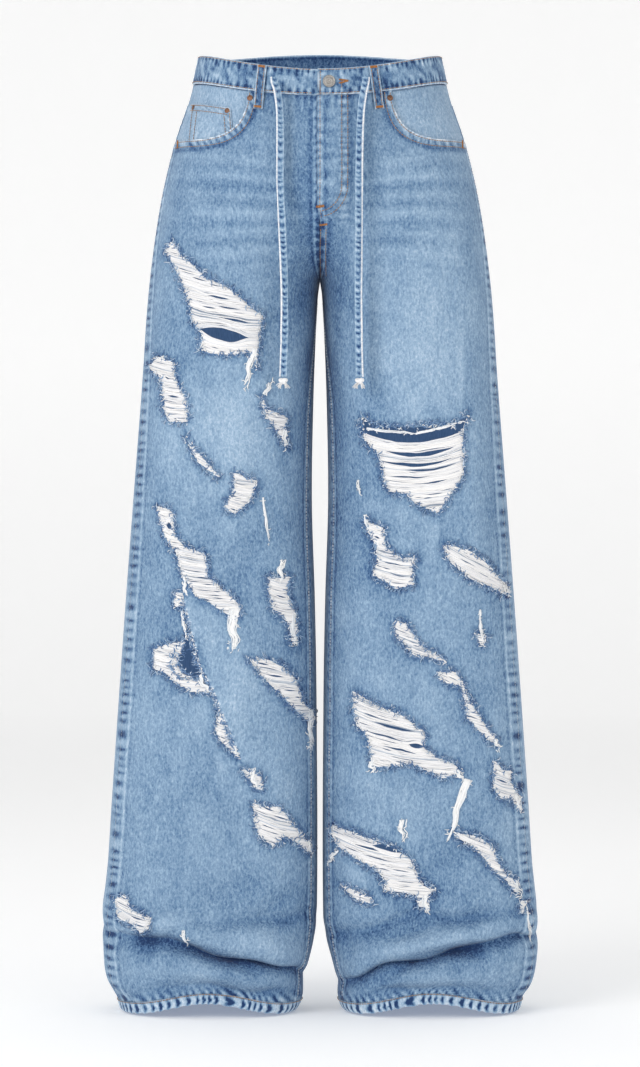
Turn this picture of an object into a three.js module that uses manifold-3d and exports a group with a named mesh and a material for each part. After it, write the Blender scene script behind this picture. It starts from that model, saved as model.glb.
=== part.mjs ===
// Wide-leg ripped jeans in their worn form, with nobody inside.
//
// The cloth is a set of cut panels, each a wall of one thickness on a common body surface: two
// fronts, two backs, two yokes, a waistband that laps over itself at the front, a facing behind the
// fly, facings behind the scooped pocket mouths, a coin pocket, two back pockets and two turned-up
// hems. Belt loops, a shank button, rivets and two flat drawstrings with knotted ends are on it.
// The largest rips are cut through the fronts, and the threads left across each are a thin patch.
//
// Frame: millimetres, +X to the wearer's left, -Y to the front, +Z up. The origin is the middle of
// the waist opening, level with the waistband's top edge at the sides.

import * as THREE from "three";
import { mergeVertices } from "three/addons/utils/BufferGeometryUtils.js";
import Module from "manifold-3d";

const wasm = await Module();
wasm.setup();

// ---- Driving dimensions ----

const CLOTH = 1.5; // wall of one layer of denim
const PATCH = 1.2; // wall of a pocket or facing laid on a panel
const SEAM_GAP = 0.3; // between pieces that are sewn together
const BAND_HEIGHT = 33;
const BAND_WALL = 3; // two layers of denim
const BAND_PROUD = 1; // how far the waistband's face stands out from the panels
const HEM_HEIGHT = 13;
const HEM_WALL = 2.6; // the cloth turned up twice
const HEM_PROUD = 0.4;
const HEM_LEVEL = -1121; // the bottom edge at the sides
const HEM_ARCH = 15; // how far the front of a hem lifts over the foot
const ARCH_START = -1040;
const CROTCH_LEVEL = -265;
const CROTCH_START = -140; // where the centre seams begin to curve under
const THIGH_START = -70; // where the hips' section begins to turn into the thighs'
const THIGH_END = -400;
const FRONT_DIP = -25; // the waist's height at the centre front, from that at the sides
const BACK_RISE = 17;
const WAIST_TILT_END = -200; // the level by which the rows are horizontal again
const CENTRE_BLEND = 0.7; // radians from the inner side within which the crotch's curve holds
const LEG_SQUARENESS = 0.22; // fills out the corners of a leg's ellipse
const HIP_SQUARENESS = 0.15;

// Sections of the body by level: half the outer width, half the gap between the legs, and the
// depths in front of and behind the side line, of the hips and of a leg.
const OUTER = smoothCurve([
  [0, 142], [-50, 153.5], [-97, 169], [-168, 186], [-263, 200], [-404, 211], [-640, 229],
  [-876, 245.5], [-947, 250], [-1000, 255], [-1062, 254.5], [-1080, 252], [-1094, 246.5],
  [-1108, 238], [-1121, 234],
]);
const INNER = smoothCurve([
  [-265, 0.4], [-280, 2.6], [-310, 4.2], [-404, 7.7], [-522, 9.5], [-640, 6], [-758, 4],
  [-1010, 3.6], [-1041, 8], [-1080, 20], [-1104, 21.5], [-1121, 28],
]);
const HIP_FRONT = smoothCurve([[0, 88], [-100, 102], [-200, 106], [-265, 104]]);
const HIP_BACK = smoothCurve([[0, 100], [-100, 124], [-180, 132], [-265, 124]]);
const LEG_FRONT = smoothCurve([[-70, 100], [-265, 104], [-404, 99], [-600, 88], [-850, 80], [-1121, 78]]);
const LEG_BACK = smoothCurve([[-70, 124], [-265, 122], [-404, 108], [-600, 92], [-850, 88], [-1121, 82]]);

// The angle round a leg at which the side seam and the inseam run: 0 is the outer side, a quarter
// turn the front and a half turn the inner side.
const SIDE_SEAM = smoothCurve([
  [-60, 0], [-168, 0.09], [-263, 0.22], [-404, 0.32], [-560, 0.36], [-1121, 0.36],
]);
const INSEAM = smoothCurve([
  [-265, Math.PI], [-330, Math.PI - 0.14], [-430, Math.PI - 0.32], [-1121, Math.PI - 0.32],
]);

// Stacked folds above each hem. Each runs round the leg through the levels given at the outer
// side, front, inner side and back. The cloth above it rolls out by push and hangs down by drop,
// and the crease itself is tucked in. A soft trough has no push.
const FOLDS = {
  left: [
    { outer: -1027, front: -1047, inner: -1085, back: -1055, push: 9, tuck: 10, drop: 8 },
    { outer: -1000, front: -1006, inner: -1032, back: -1008, push: 0, tuck: 6, drop: 0 },
    { outer: -1096, front: -1096, inner: -1098, back: -1094, push: 3, tuck: 4, drop: 2 },
  ],
  right: [
    { outer: -1022, front: -1043, inner: -1072, back: -1046, push: 9, tuck: 10, drop: 8 },
    { outer: -1049, front: -1014, inner: -1010, back: -1020, push: 0, tuck: 5, drop: 0 },
    { outer: -1098, front: -1096, inner: -1094, back: -1092, push: 3, tuck: 4, drop: 2 },
  ],
};
const ROLL_ABOVE = 17; // from a crease up to the crown of the roll over it
const ROLL_BELOW = 22;
const ROLL_HALF = 15;
const CREASE_HALF = 8;
const SIDEWAYS_SHARE = 0.35; // how much of a fold's depth shows at the sides of a leg

// ---- Curves ----

// A smooth curve through [level, value] points listed downwards. Each piece is a cubic whose slope
// at a point is that of the chord between its neighbours, and the ends run on level.
function smoothCurve(points) {
  const last = points.length - 1;
  const slopes = points.map((_, i) => {
    const [levelA, valueA] = points[Math.max(i - 1, 0)];
    const [levelB, valueB] = points[Math.min(i + 1, last)];
    return (valueB - valueA) / (levelB - levelA);
  });
  return (level) => {
    if (level >= points[0][0]) return points[0][1];
    if (level <= points[last][0]) return points[last][1];
    const i = points.findIndex(([start], k) => level <= start && level > points[k + 1][0]);
    const [levelA, valueA] = points[i];
    const [levelB, valueB] = points[i + 1];
    const span = levelB - levelA;
    const t = (level - levelA) / span;
    const rise = t * t * (3 - 2 * t);
    const leave = t * (1 - t) * (1 - t);
    const arrive = t * t * (t - 1);
    return valueA + (valueB - valueA) * rise + span * (slopes[i] * leave + slopes[i + 1] * arrive);
  };
}

const clamp01 = (t) => Math.min(1, Math.max(0, t));
const smoothStep = (t) => clamp01(t) ** 2 * (3 - 2 * clamp01(t));
const bump = (t) => Math.exp(-t * t);
const mix = (a, b, t) => a + (b - a) * t;

// ---- The body surface ----

// How far the section at an angle has turned from half of the hips (0) into a leg of its own (1).
// On the centre line it is an arc, so that the centre seam curves under to the crotch like a J.
// Away from it the hips turn into the thighs slowly.
function legShare(theta, level) {
  const s = clamp01((CROTCH_START - level) / (CROTCH_START - CROTCH_LEVEL));
  const curved = 1 - Math.sqrt(1 - s * s);
  const slow = smoothStep((THIGH_START - level) / (THIGH_START - THIGH_END));
  const fromCentre = Math.abs(Math.PI - theta) / CENTRE_BLEND;
  return mix(slow, curved, bump(fromCentre));
}

// How far the folds move a point out from the leg's middle, and down.
function foldShift(leg, theta, level) {
  let out = 0;
  let down = 0;
  for (const fold of FOLDS[leg]) {
    const middle = (fold.outer + fold.inner + fold.front + fold.back) / 4;
    const across = (fold.outer - fold.inner) / 2;
    const along = (fold.front - fold.back) / 2;
    const twice = (fold.outer + fold.inner - fold.front - fold.back) / 4;
    const crease = middle + across * Math.cos(theta) + along * Math.sin(theta) + twice * Math.cos(2 * theta);
    const above = level - crease;
    out += fold.push * (bump((above - ROLL_ABOVE) / ROLL_HALF) + bump((above + ROLL_BELOW) / ROLL_HALF));
    out -= fold.tuck * bump(above / CREASE_HALF);
    down += fold.drop * bump((above - ROLL_ABOVE / 2) / CREASE_HALF);
  }
  return { out, down };
}

// The point of one half of the body, on +X, at an angle round the leg and a level. Above the
// crotch the half turn goes round one half of the hips, from the side to the centre line.
function halfPoint(leg, theta, level) {
  const isFront = Math.sin(theta) >= 0;
  const share = legShare(theta, level);
  const turn = theta % (2 * Math.PI);
  const halfTurn = Math.min(turn, 2 * Math.PI - turn) / 2;
  const toFront = isFront ? -1 : 1;
  const hipDepth = (isFront ? HIP_FRONT : HIP_BACK)(level);
  const hipX = OUTER(level) * Math.cos(halfTurn);
  const hipY = toFront * hipDepth * Math.sin(halfTurn) * (1 + HIP_SQUARENESS * Math.cos(halfTurn) ** 2);
  const legDepth = (isFront ? LEG_FRONT : LEG_BACK)(level);
  const { out, down } = foldShift(leg, theta, level);
  const inner = INNER(level);
  const radius = (OUTER(level) - inner) / 2;
  const squareness = 1 + LEG_SQUARENESS * Math.cos(theta) ** 2;
  const legX = inner + radius + (radius + out * SIDEWAYS_SHARE) * Math.cos(theta);
  const legY = -(legDepth + out) * Math.sin(theta) * squareness;
  const waistShare = smoothStep(1 - level / WAIST_TILT_END);
  const tilt = (isFront ? FRONT_DIP : BACK_RISE) * Math.sin(halfTurn) ** 2 * waistShare;
  const archShare = smoothStep((ARCH_START - level) / (ARCH_START - HEM_LEVEL));
  const arch = isFront ? HEM_ARCH * Math.sin(theta) ** 6 * archShare : 0;
  return new THREE.Vector3(mix(hipX, legX, share), mix(hipY, legY, share), level + tilt + arch - down);
}

// The normal of a surface given as a function of an angle and a level, from its slopes.
function normalOf(pointAt, angle, level) {
  const angleStep = 0.01;
  const levelStep = 1;
  const up = pointAt(angle, level + levelStep).sub(pointAt(angle, level - levelStep));
  const round = pointAt(angle + angleStep, level).sub(pointAt(angle - angleStep, level));
  return up.cross(round).normalize();
}

// A point of a leg's surface, hips included, and its outward normal.
function surfaceAt(side, theta, level) {
  const point = halfPoint(side, theta, level);
  const normal = normalOf((a, l) => halfPoint(side, a, l), theta, level);
  if (side === "right") {
    point.x = -point.x;
    normal.x = -normal.x;
  }
  return { point, normal };
}

// A point of the hips by whole turn, and its outward normal: 0 is the wearer's left side, a
// quarter turn the centre back, and three quarters the centre front.
function hipPoint(turn, level) {
  const [x, y] = [Math.cos(turn), Math.sin(turn)];
  const halfTurn = Math.atan2(Math.abs(y), Math.abs(x));
  const point = halfPoint("left", y < 0 ? 2 * halfTurn : 2 * Math.PI - 2 * halfTurn, level);
  if (x < 0) point.x = -point.x;
  return point;
}

const hipAt = (turn, level) => ({ point: hipPoint(turn, level), normal: normalOf(hipPoint, turn, level).negate() });

// ---- Solids ----

// A wall on a grid of { point, normal, lift }: its face is out by the offset and the lift, and its
// back is the wall's thickness behind. A ring's last column joins its first.
function wall(grid, { offset = 0, thickness = CLOTH, ring = false } = {}) {
  const rows = grid.length;
  const columns = grid[0].length;
  const positions = [];
  for (const depth of [0, thickness]) {
    for (const { point, normal, lift = 0 } of grid.flat()) {
      positions.push(...point.clone().addScaledVector(normal, offset + lift - depth));
    }
  }
  const at = (layer, i, j) => (layer * rows + i) * columns + (j % columns);
  const index = [];
  const quad = (a, b, c, d) => index.push(a, b, c, a, c, d);
  const columnSteps = ring ? columns : columns - 1;
  for (let j = 0; j < columnSteps; j++) {
    for (let i = 0; i < rows - 1; i++) {
      quad(at(0, i, j), at(0, i + 1, j), at(0, i + 1, j + 1), at(0, i, j + 1));
      quad(at(1, i, j), at(1, i, j + 1), at(1, i + 1, j + 1), at(1, i + 1, j));
    }
    quad(at(0, 0, j), at(0, 0, j + 1), at(1, 0, j + 1), at(1, 0, j));
    quad(at(0, rows - 1, j), at(1, rows - 1, j), at(1, rows - 1, j + 1), at(0, rows - 1, j + 1));
  }
  if (!ring) {
    const end = columns - 1;
    for (let i = 0; i < rows - 1; i++) {
      quad(at(0, i, 0), at(1, i, 0), at(1, i + 1, 0), at(0, i + 1, 0));
      quad(at(0, i, end), at(0, i + 1, end), at(1, i + 1, end), at(1, i, end));
    }
  }
  const geometry = new THREE.BufferGeometry();
  geometry.setAttribute("position", new THREE.Float32BufferAttribute(positions, 3));
  geometry.setIndex(index);
  return facingOut(geometry);
}

// The geometry with its faces turned round if they enclose a negative volume.
function facingOut(geometry) {
  const p = geometry.getAttribute("position");
  const index = geometry.getIndex();
  const [a, b, c] = [new THREE.Vector3(), new THREE.Vector3(), new THREE.Vector3()];
  let volume = 0;
  for (let i = 0; i < index.count; i += 3) {
    a.fromBufferAttribute(p, index.getX(i));
    b.fromBufferAttribute(p, index.getX(i + 1));
    c.fromBufferAttribute(p, index.getX(i + 2));
    volume += a.dot(b.cross(c));
  }
  if (volume < 0) index.array.reverse();
  geometry.computeVertexNormals();
  return geometry;
}

function toManifold(geometry) {
  const bare = geometry.clone();
  for (const name of Object.keys(bare.attributes)) {
    if (name !== "position") bare.deleteAttribute(name);
  }
  const merged = mergeVertices(bare, 1e-3);
  return new wasm.Manifold(new wasm.Mesh({
    numProp: 3,
    vertProperties: merged.getAttribute("position").array,
    triVerts: new Uint32Array(merged.index.array),
  }));
}

function toGeometry(solid) {
  const mesh = solid.getMesh();
  const geometry = new THREE.BufferGeometry();
  geometry.setAttribute("position", new THREE.BufferAttribute(mesh.vertProperties, 3));
  geometry.setIndex(new THREE.BufferAttribute(mesh.triVerts, 1));
  geometry.computeVertexNormals();
  return geometry;
}

const PRISM_DEPTH = 200; // deeper than the body in front of or behind the side line

// A prism along Y over an outline of [x, z] points, in front of the side line or behind it.
function prism(outline, { behind = false } = {}) {
  const shape = new THREE.Shape(outline.map(([x, z]) => new THREE.Vector2(x, z)));
  const geometry = new THREE.ExtrudeGeometry(shape, { depth: PRISM_DEPTH, bevelEnabled: false });
  geometry.rotateX(Math.PI / 2);
  if (behind) geometry.translate(0, PRISM_DEPTH, 0);
  return toManifold(geometry);
}

const mirrored = (outline) => outline.map(([x, z]) => [-x, z]);
const onSide = (side, outline) => (side === "left" ? outline : mirrored(outline));

// An outline moved in by a distance along the mean normal of the two edges at each point.
function inset(outline, distance) {
  const area = outline.reduce((sum, [x, z], i) => {
    const [nextX, nextZ] = outline[(i + 1) % outline.length];
    return sum + x * nextZ - nextX * z;
  }, 0);
  const inward = Math.sign(area);
  return outline.map(([x, z], i) => {
    const [beforeX, beforeZ] = outline.at(i - 1);
    const [afterX, afterZ] = outline[(i + 1) % outline.length];
    const first = new THREE.Vector2(x - beforeX, z - beforeZ).normalize();
    const second = new THREE.Vector2(afterX - x, afterZ - z).normalize();
    const normal = first.add(second).normalize().rotateAround(new THREE.Vector2(), inward * Math.PI / 2);
    return [x + normal.x * distance, z + normal.y * distance];
  });
}

// ---- Materials ----

const finish = (color, roughness, metalness) =>
  new THREE.MeshStandardMaterial({ color, roughness, metalness });
const denim = finish("#86a2c0", 0.92, 0);
const denimFacing = finish("#9ab2cb", 0.92, 0);
const weft = finish("#eceaea", 0.95, 0);
const nickel = finish("#b9b5ae", 0.38, 1);
const copper = finish("#9c6a4c", 0.42, 1);

const jeans = new THREE.Group();

function add(name, geometry, material) {
  const mesh = new THREE.Mesh(geometry, material);
  mesh.name = name;
  jeans.add(mesh);
  return mesh;
}

// ---- The panels' grids ----

const FRONT_COLUMNS = 10;
const BACK_COLUMNS = 12;
const SEAM_LEVEL = -BAND_HEIGHT - SEAM_GAP;
const HEM_TOP = HEM_LEVEL + HEM_HEIGHT;
const PANEL_BOTTOM = HEM_TOP + SEAM_GAP;

// Row levels are close together where the centre seam curves under and where the legs fold.
const PANEL_LEVELS = [
  SEAM_LEVEL, -62, -95, -130, -165, -195, -222, -243, -257, CROTCH_LEVEL, -278, -305, -360, -440,
  -530, -620, -710, -800, -880, -935, -968, -990, -1007, -1021, -1034, -1047, -1060, -1073, -1087,
  PANEL_BOTTOM,
];

// Half a seam's gap as an angle at a level.
const gapAngle = (level) => SEAM_GAP / (OUTER(level) - INNER(level));

const frontAngle = (t, level) =>
  mix(SIDE_SEAM(level) + gapAngle(level), INSEAM(level) - gapAngle(level), t);
const backAngle = (t, level) =>
  mix(2 * Math.PI + SIDE_SEAM(level) - gapAngle(level), INSEAM(level) + gapAngle(level), t);

// A grid of surface points: rows down the levels, and columns round the angles.
function grid(side, rowCount, columnCount, angleOf, levelOf) {
  return Array.from({ length: rowCount + 1 }, (_, i) =>
    Array.from({ length: columnCount + 1 }, (_, j) => {
      const t = j / columnCount;
      const level = levelOf(i, t);
      return surfaceAt(side, angleOf(t, level), level);
    }),
  );
}

// The edge of the wearer's left front folds over the right front as far as the fly goes down.
const FLY_BOTTOM = -204;
const FLY_WIDTH = 31;
const LAP = 2.4; // past the centre line
const LAP_LIFT = CLOTH + SEAM_GAP + 0.1;
const LAP_FADE = 22; // how far above the fly's bottom the lap is whole
const LIFT_REACH = 1.35; // in widths of the fly, from the edge to where the panel lies down again
const LAP_REACH = 1.5;

function lapOver(cell) {
  const { point } = cell;
  const along = smoothStep((point.z - FLY_BOTTOM) / LAP_FADE);
  cell.lift = LAP_LIFT * along * smoothStep(LIFT_REACH - point.x / FLY_WIDTH);
  point.x -= LAP * along * smoothStep(1 - point.x / (LAP_REACH * FLY_WIDTH));
}

function frontGrid(side) {
  const cells = grid(side, PANEL_LEVELS.length - 1, FRONT_COLUMNS, frontAngle, (i) => PANEL_LEVELS[i]);
  if (side === "left") cells.flat().forEach(lapOver);
  return cells;
}

// The yoke is deeper at the centre back than at the sides. A back panel's rows start along the
// slanted yoke seam and are level again a few rows down.
const YOKE_SIDE = 32;
const YOKE_CENTRE = 62;
const YOKE_SETTLED = -222;

const yokeSeam = (t) => SEAM_LEVEL - mix(YOKE_SIDE, YOKE_CENTRE, t);

function backGrid(side) {
  const first = PANEL_LEVELS[1];
  const levelOf = (i, t) => {
    const level = PANEL_LEVELS[i + 1];
    const settled = clamp01((first - level) / (first - YOKE_SETTLED));
    return level + (yokeSeam(t) - SEAM_GAP - first) * (1 - settled);
  };
  return grid(side, PANEL_LEVELS.length - 2, BACK_COLUMNS, backAngle, levelOf);
}

function yoke(side) {
  const rowCount = 2;
  const levelOf = (i, t) => mix(SEAM_LEVEL, yokeSeam(t), i / rowCount);
  return wall(grid(side, rowCount, BACK_COLUMNS, backAngle, levelOf));
}

// ---- Outlines cut through the fronts or laid on the panels, as [x, z] points ----

// A pocket mouth: a scoop from the waistband seam round to the side seam, moved in by grow.
function pocketMouth(grow) {
  const topX = 80 - grow;
  const sideZ = -101 - grow;
  const curve = new THREE.CubicBezierCurve(
    new THREE.Vector2(topX + 3, -52),
    new THREE.Vector2(topX + 6, -100 - grow),
    new THREE.Vector2(topX + 38, -110 - grow),
    new THREE.Vector2(172, sideZ),
  );
  return [[200, -10], [topX, -10], ...curve.getPoints(10).map((p) => [p.x, p.y]), [200, sideZ]];
}

const COIN_POCKET = [[172, -52.5], [103.5, -69], [100, -112], [176, -112]];

const FLY_FACING = [
  [0.4, -20], [FLY_WIDTH, -20], [FLY_WIDTH, -170], [FLY_WIDTH - 3, -184], [FLY_WIDTH - 10, -195],
  [10, -202], [0.4, -204],
];

// A back pocket: wider at the top, and pointed at the bottom.
const BACK_POCKET = [
  [30, -112], [166, -104], [160, -232], [96, -254], [36, -236],
];

// The rips whose threads are worth a piece of their own, by name and side.
const RIPS = {
  thigh_right: [
    [-179, -234], [-163, -238], [-133, -267], [-98, -285], [-67, -311], [-70, -331], [-75, -376],
    [-86, -394], [-77, -352], [-117, -355], [-136, -351], [-135, -332], [-150, -296], [-167, -267],
  ],
  knee_right: [
    [-188, -530], [-171, -536], [-169, -565], [-134, -585], [-130, -612], [-94, -643], [-90, -682],
    [-105, -699], [-105, -656], [-143, -634], [-165, -585],
  ],
  inner_shin_right: [
    [-83, -706], [-61, -708], [-28, -734], [-22, -758], [-7, -776], [-9, -815], [-15, -778],
    [-37, -757], [-59, -734],
  ],
  knee_left: [
    [49, -428], [67, -440], [156, -437], [171, -425], [164, -445], [164, -495], [151, -515],
    [135, -538], [101, -516], [75, -501], [69, -472], [52, -453],
  ],
  below_knee_left: [
    [72, -555], [74, -577], [95, -591], [110, -589], [106, -602], [107, -621], [88, -625], [62, -609],
    [67, -591], [56, -558],
  ],
  shin_left: [
    [40, -746], [75, -765], [109, -784], [120, -791], [119, -809], [133, -820], [162, -838],
    [143, -844], [106, -827], [62, -832], [56, -796], [40, -765],
  ],
  ankle_left: [
    [17, -902], [58, -915], [88, -927], [105, -939], [119, -969], [134, -974], [124, -994],
    [112, -980], [75, -975], [63, -949], [17, -914],
  ],
};
const sideOf = (name) => name.slice(name.lastIndexOf("_") + 1);

// ---- Pieces made from the panels' points ----

const frontGrids = { left: frontGrid("left"), right: frontGrid("right") };
const backGrids = { left: backGrid("left"), right: backGrid("right") };

function frontPanel(side) {
  let panel = toManifold(wall(frontGrids[side])).subtract(prism(onSide(side, pocketMouth(0))));
  for (const [name, outline] of Object.entries(RIPS)) {
    if (sideOf(name) === side) panel = panel.subtract(prism(outline));
  }
  return toGeometry(panel);
}

// A layer within an outline, parallel to a panel: its face is out from the panel's by the offset.
function layer(cells, outline, offset, thickness, place) {
  return toGeometry(toManifold(wall(cells, { offset, thickness })).intersect(prism(outline, place)));
}

const COIN_OFFSET = -CLOTH - SEAM_GAP;
const FACING_OFFSET = COIN_OFFSET - PATCH - SEAM_GAP;
const FACING_MARGIN = 12; // how far the pocket facing runs on behind the front
const THREAD_WALL = 0.8;

// ---- Waistband and hems ----

// The band starts at the lapping end, goes once round by the wearer's left side and the back, and
// dips behind its own start to end as the underlap. Its places are turns from the centre front.
const CENTRE_FRONT = 1.5 * Math.PI;
const BAND_STATIONS = 72;
const BAND_END = 0.018; // the lapping end, past the centre line
const UNDERLAP_END = 0.2;
const DIP_START = 0.3;
const DIP_END = 0.04;
const DIP = BAND_WALL + SEAM_GAP + 0.1;

function waistband() {
  const rows = [0, -BAND_HEIGHT].map((level) =>
    Array.from({ length: BAND_STATIONS + 1 }, (_, k) => {
      const pastFront = mix(-2 * Math.PI - BAND_END, UNDERLAP_END, k / BAND_STATIONS);
      const lift = -DIP * smoothStep((pastFront + DIP_START) / (DIP_START - DIP_END));
      return { ...hipAt(CENTRE_FRONT + pastFront, level), lift };
    }),
  );
  return wall(rows, { offset: BAND_PROUD, thickness: BAND_WALL });
}

// A hem's columns are those of the panels above it, so that their edges run alongside.
function hem(side) {
  const rows = [HEM_TOP, HEM_TOP - HEM_HEIGHT / 2, HEM_LEVEL].map((level) => {
    const front = Array.from({ length: FRONT_COLUMNS + 1 }, (_, j) => frontAngle(j / FRONT_COLUMNS, level));
    const back = Array.from({ length: BACK_COLUMNS + 1 }, (_, j) => backAngle(1 - j / BACK_COLUMNS, level));
    return [...front, ...back].map((theta) => surfaceAt(side, theta, level));
  });
  return wall(rows, { offset: HEM_PROUD, thickness: HEM_WALL, ring: true });
}

// ---- Belt loops ----

const LOOP_WIDTH = 10;
const LOOP_WALL = 1.8;
const LOOP_TOP = -1;
const LOOP_BOTTOM = -BAND_HEIGHT - 23;
const LOOP_STAND_OFF = 1.8;
const LOOP_ROWS = 10;
const LOOP_SIDE_TURN = 0.45;
const BAND_STEP = 9; // the height over which a loop comes down off the band's lower edge

// Where each loop's top is, as a whole turn, and how far its bottom leans round from there.
const LOOPS = {
  belt_loop_front_left: { turn: -1.126, lean: 0.0135 },
  belt_loop_side_left: { turn: LOOP_SIDE_TURN, lean: 0 },
  belt_loop_back: { turn: Math.PI / 2, lean: 0 },
  belt_loop_side_right: { turn: Math.PI - LOOP_SIDE_TURN, lean: 0 },
  belt_loop_front_right: { turn: Math.PI + 1.086, lean: 0.007 },
};

// A strip down the waistband, sewn at both ends and standing off it between them.
function beltLoop({ turn, lean }) {
  const halfAngle = LOOP_WIDTH / 2 / hipPoint(turn, 0).setZ(0).length();
  const strip = Array.from({ length: LOOP_ROWS + 1 }, (_, i) => {
    const down = i / LOOP_ROWS;
    const level = mix(LOOP_TOP, LOOP_BOTTOM, down);
    const onBand = 1 - smoothStep((-BAND_HEIGHT - 2 - level) / BAND_STEP);
    const lift = SEAM_GAP + LOOP_WALL + BAND_PROUD * onBand + LOOP_STAND_OFF * Math.sin(Math.PI * down);
    return [-halfAngle, halfAngle].map((angle) => ({ ...hipAt(turn + lean * down + angle, level), lift }));
  });
  return wall(strip, { thickness: LOOP_WALL });
}

// ---- Metal ----

// A piece turned on a lathe from its profile of [radius, height], set with its axis along a normal.
function hardware(name, profile, material, { point, normal }, lift, segments) {
  const points = profile.map(([radius, height]) => new THREE.Vector2(radius, height));
  const mesh = add(name, new THREE.LatheGeometry(points, segments), material);
  mesh.quaternion.setFromUnitVectors(new THREE.Vector3(0, 1, 0), normal);
  mesh.position.copy(point).addScaledVector(normal, lift);
  return mesh;
}

const BUTTON_PROFILE = [[0, 0], [4, 0], [4, 0.8], [7, 1], [7.1, 1.8], [5.6, 2.5], [3.4, 2], [2, 2.5], [0, 2.6]];
const RIVET_PROFILE = [[0, 0], [3.3, 0], [3.5, 0.4], [2.2, 0.9], [0, 1.1]];
const SMALL_RIVET_PROFILE = [[0, 0], [2.9, 0], [3, 0.3], [1.6, 0.8], [0, 0.9]];

// ---- Drawstrings ----

const CORD_WIDTH = 9.4;
const CORD_WALL = 2.6;
const CORD_SIDES = 8;
const cordRoutes = {
  left: [
    [53, -103.8, -37.5], [52.6, -105.4, -43], [50.6, -106.6, -52], [47.6, -108.4, -72],
    [45.6, -112, -110], [44.8, -114.5, -160], [44.4, -115.5, -220], [44, -115, -280],
    [44.6, -113.5, -335], [45.4, -112, -382],
  ],
  right: [
    [-53, -103.8, -37.5], [-52.4, -105.4, -43], [-49.6, -106.6, -52], [-46.6, -108.4, -72],
    [-45.6, -112, -110], [-45.6, -114.5, -160], [-43, -115.5, -220], [-41, -115, -280],
    [-41, -113.5, -335], [-42.2, -112, -382],
  ],
};

function drawstring(route) {
  const path = new THREE.CatmullRomCurve3(route.map((p) => new THREE.Vector3(...p)));
  const section = new THREE.Shape(Array.from({ length: CORD_SIDES }, (_, k) => {
    const angle = (2 * Math.PI * (k + 0.5)) / CORD_SIDES;
    return new THREE.Vector2((CORD_WIDTH / 2) * Math.cos(angle), (CORD_WALL / 2) * Math.sin(angle));
  }));
  return new THREE.ExtrudeGeometry(section, { steps: 30, extrudePath: path });
}

// The knot at a drawstring's end with its frayed tail, turned about the cord's own line.
const KNOT_PROFILE = [
  [0, -13], [4.4, -13.6], [5.4, -12.4], [3.4, -8], [3.2, -6], [5, -4.6], [5.2, -2.6], [3.4, -0.6], [0, 0],
];

function knot(name, [x, y, z]) {
  const points = KNOT_PROFILE.map(([radius, height]) => new THREE.Vector2(radius, height));
  const mesh = add(name, new THREE.LatheGeometry(points, 10).rotateX(Math.PI / 2), weft);
  mesh.position.set(x, y, z - SEAM_GAP);
}

// ---- Assembly ----

for (const side of ["left", "right"]) {
  const front = frontGrids[side];
  const back = backGrids[side];
  add(`front_${side}`, frontPanel(side), denim);
  add(`back_${side}`, wall(back), denim);
  add(`yoke_${side}`, yoke(side), denim);
  add(`hem_${side}`, hem(side), denim);
  const facing = onSide(side, pocketMouth(FACING_MARGIN));
  add(`pocket_facing_${side}`, layer(front, facing, FACING_OFFSET, CLOTH), denimFacing);
  const backPocket = onSide(side, BACK_POCKET);
  add(`back_pocket_${side}`, layer(back, backPocket, SEAM_GAP + PATCH, PATCH, { behind: true }), denim);
  const route = cordRoutes[side];
  add(`drawstring_${side}`, drawstring(route), denim);
  knot(`knot_${side}`, route.at(-1));
}
add("coin_pocket", layer(frontGrids.right, mirrored(COIN_POCKET), COIN_OFFSET, PATCH), denimFacing);
add("fly_facing", layer(frontGrids.left, FLY_FACING, -CLOTH - SEAM_GAP, PATCH), denim);
add("waistband", waistband(), denim);
for (const [name, place] of Object.entries(LOOPS)) add(name, beltLoop(place), denim);
for (const [name, outline] of Object.entries(RIPS)) {
  add(`threads_${name}`, layer(frontGrids[sideOf(name)], inset(outline, SEAM_GAP), -SEAM_GAP, THREAD_WALL), weft);
}

const BUTTON_TURN = CENTRE_FRONT + 0.072;
const POCKET_RIVET = [2.02, -43]; // by the mouth's end at the waistband, as an angle and a level
const COIN_RIVETS = { outer: [0.61, -61], inner: [1.62, -61.5] };
hardware("button", BUTTON_PROFILE, nickel, hipAt(BUTTON_TURN, -BAND_HEIGHT / 2), BAND_PROUD + SEAM_GAP, 20);
for (const side of ["left", "right"]) {
  hardware(`pocket_rivet_${side}`, RIVET_PROFILE, copper, surfaceAt(side, ...POCKET_RIVET), SEAM_GAP, 8);
}
for (const [name, [theta, level]] of Object.entries(COIN_RIVETS)) {
  const place = surfaceAt("right", theta, level);
  hardware(`coin_rivet_${name}`, SMALL_RIVET_PROFILE, copper, place, COIN_OFFSET + SEAM_GAP, 8);
}

export default jeans;
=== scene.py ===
"""Wide-leg ripped jeans in their worn form: the finish of every piece, made round a fixed frame.

Every piece of cloth is a thin shell on one body surface, which is a function of an angle round a leg
and a level. Lengths are millimetres until put_mesh writes them as metres. The wearer's left is +X,
the front is -Y and the origin is the middle of the waist opening.
"""

import math

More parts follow.
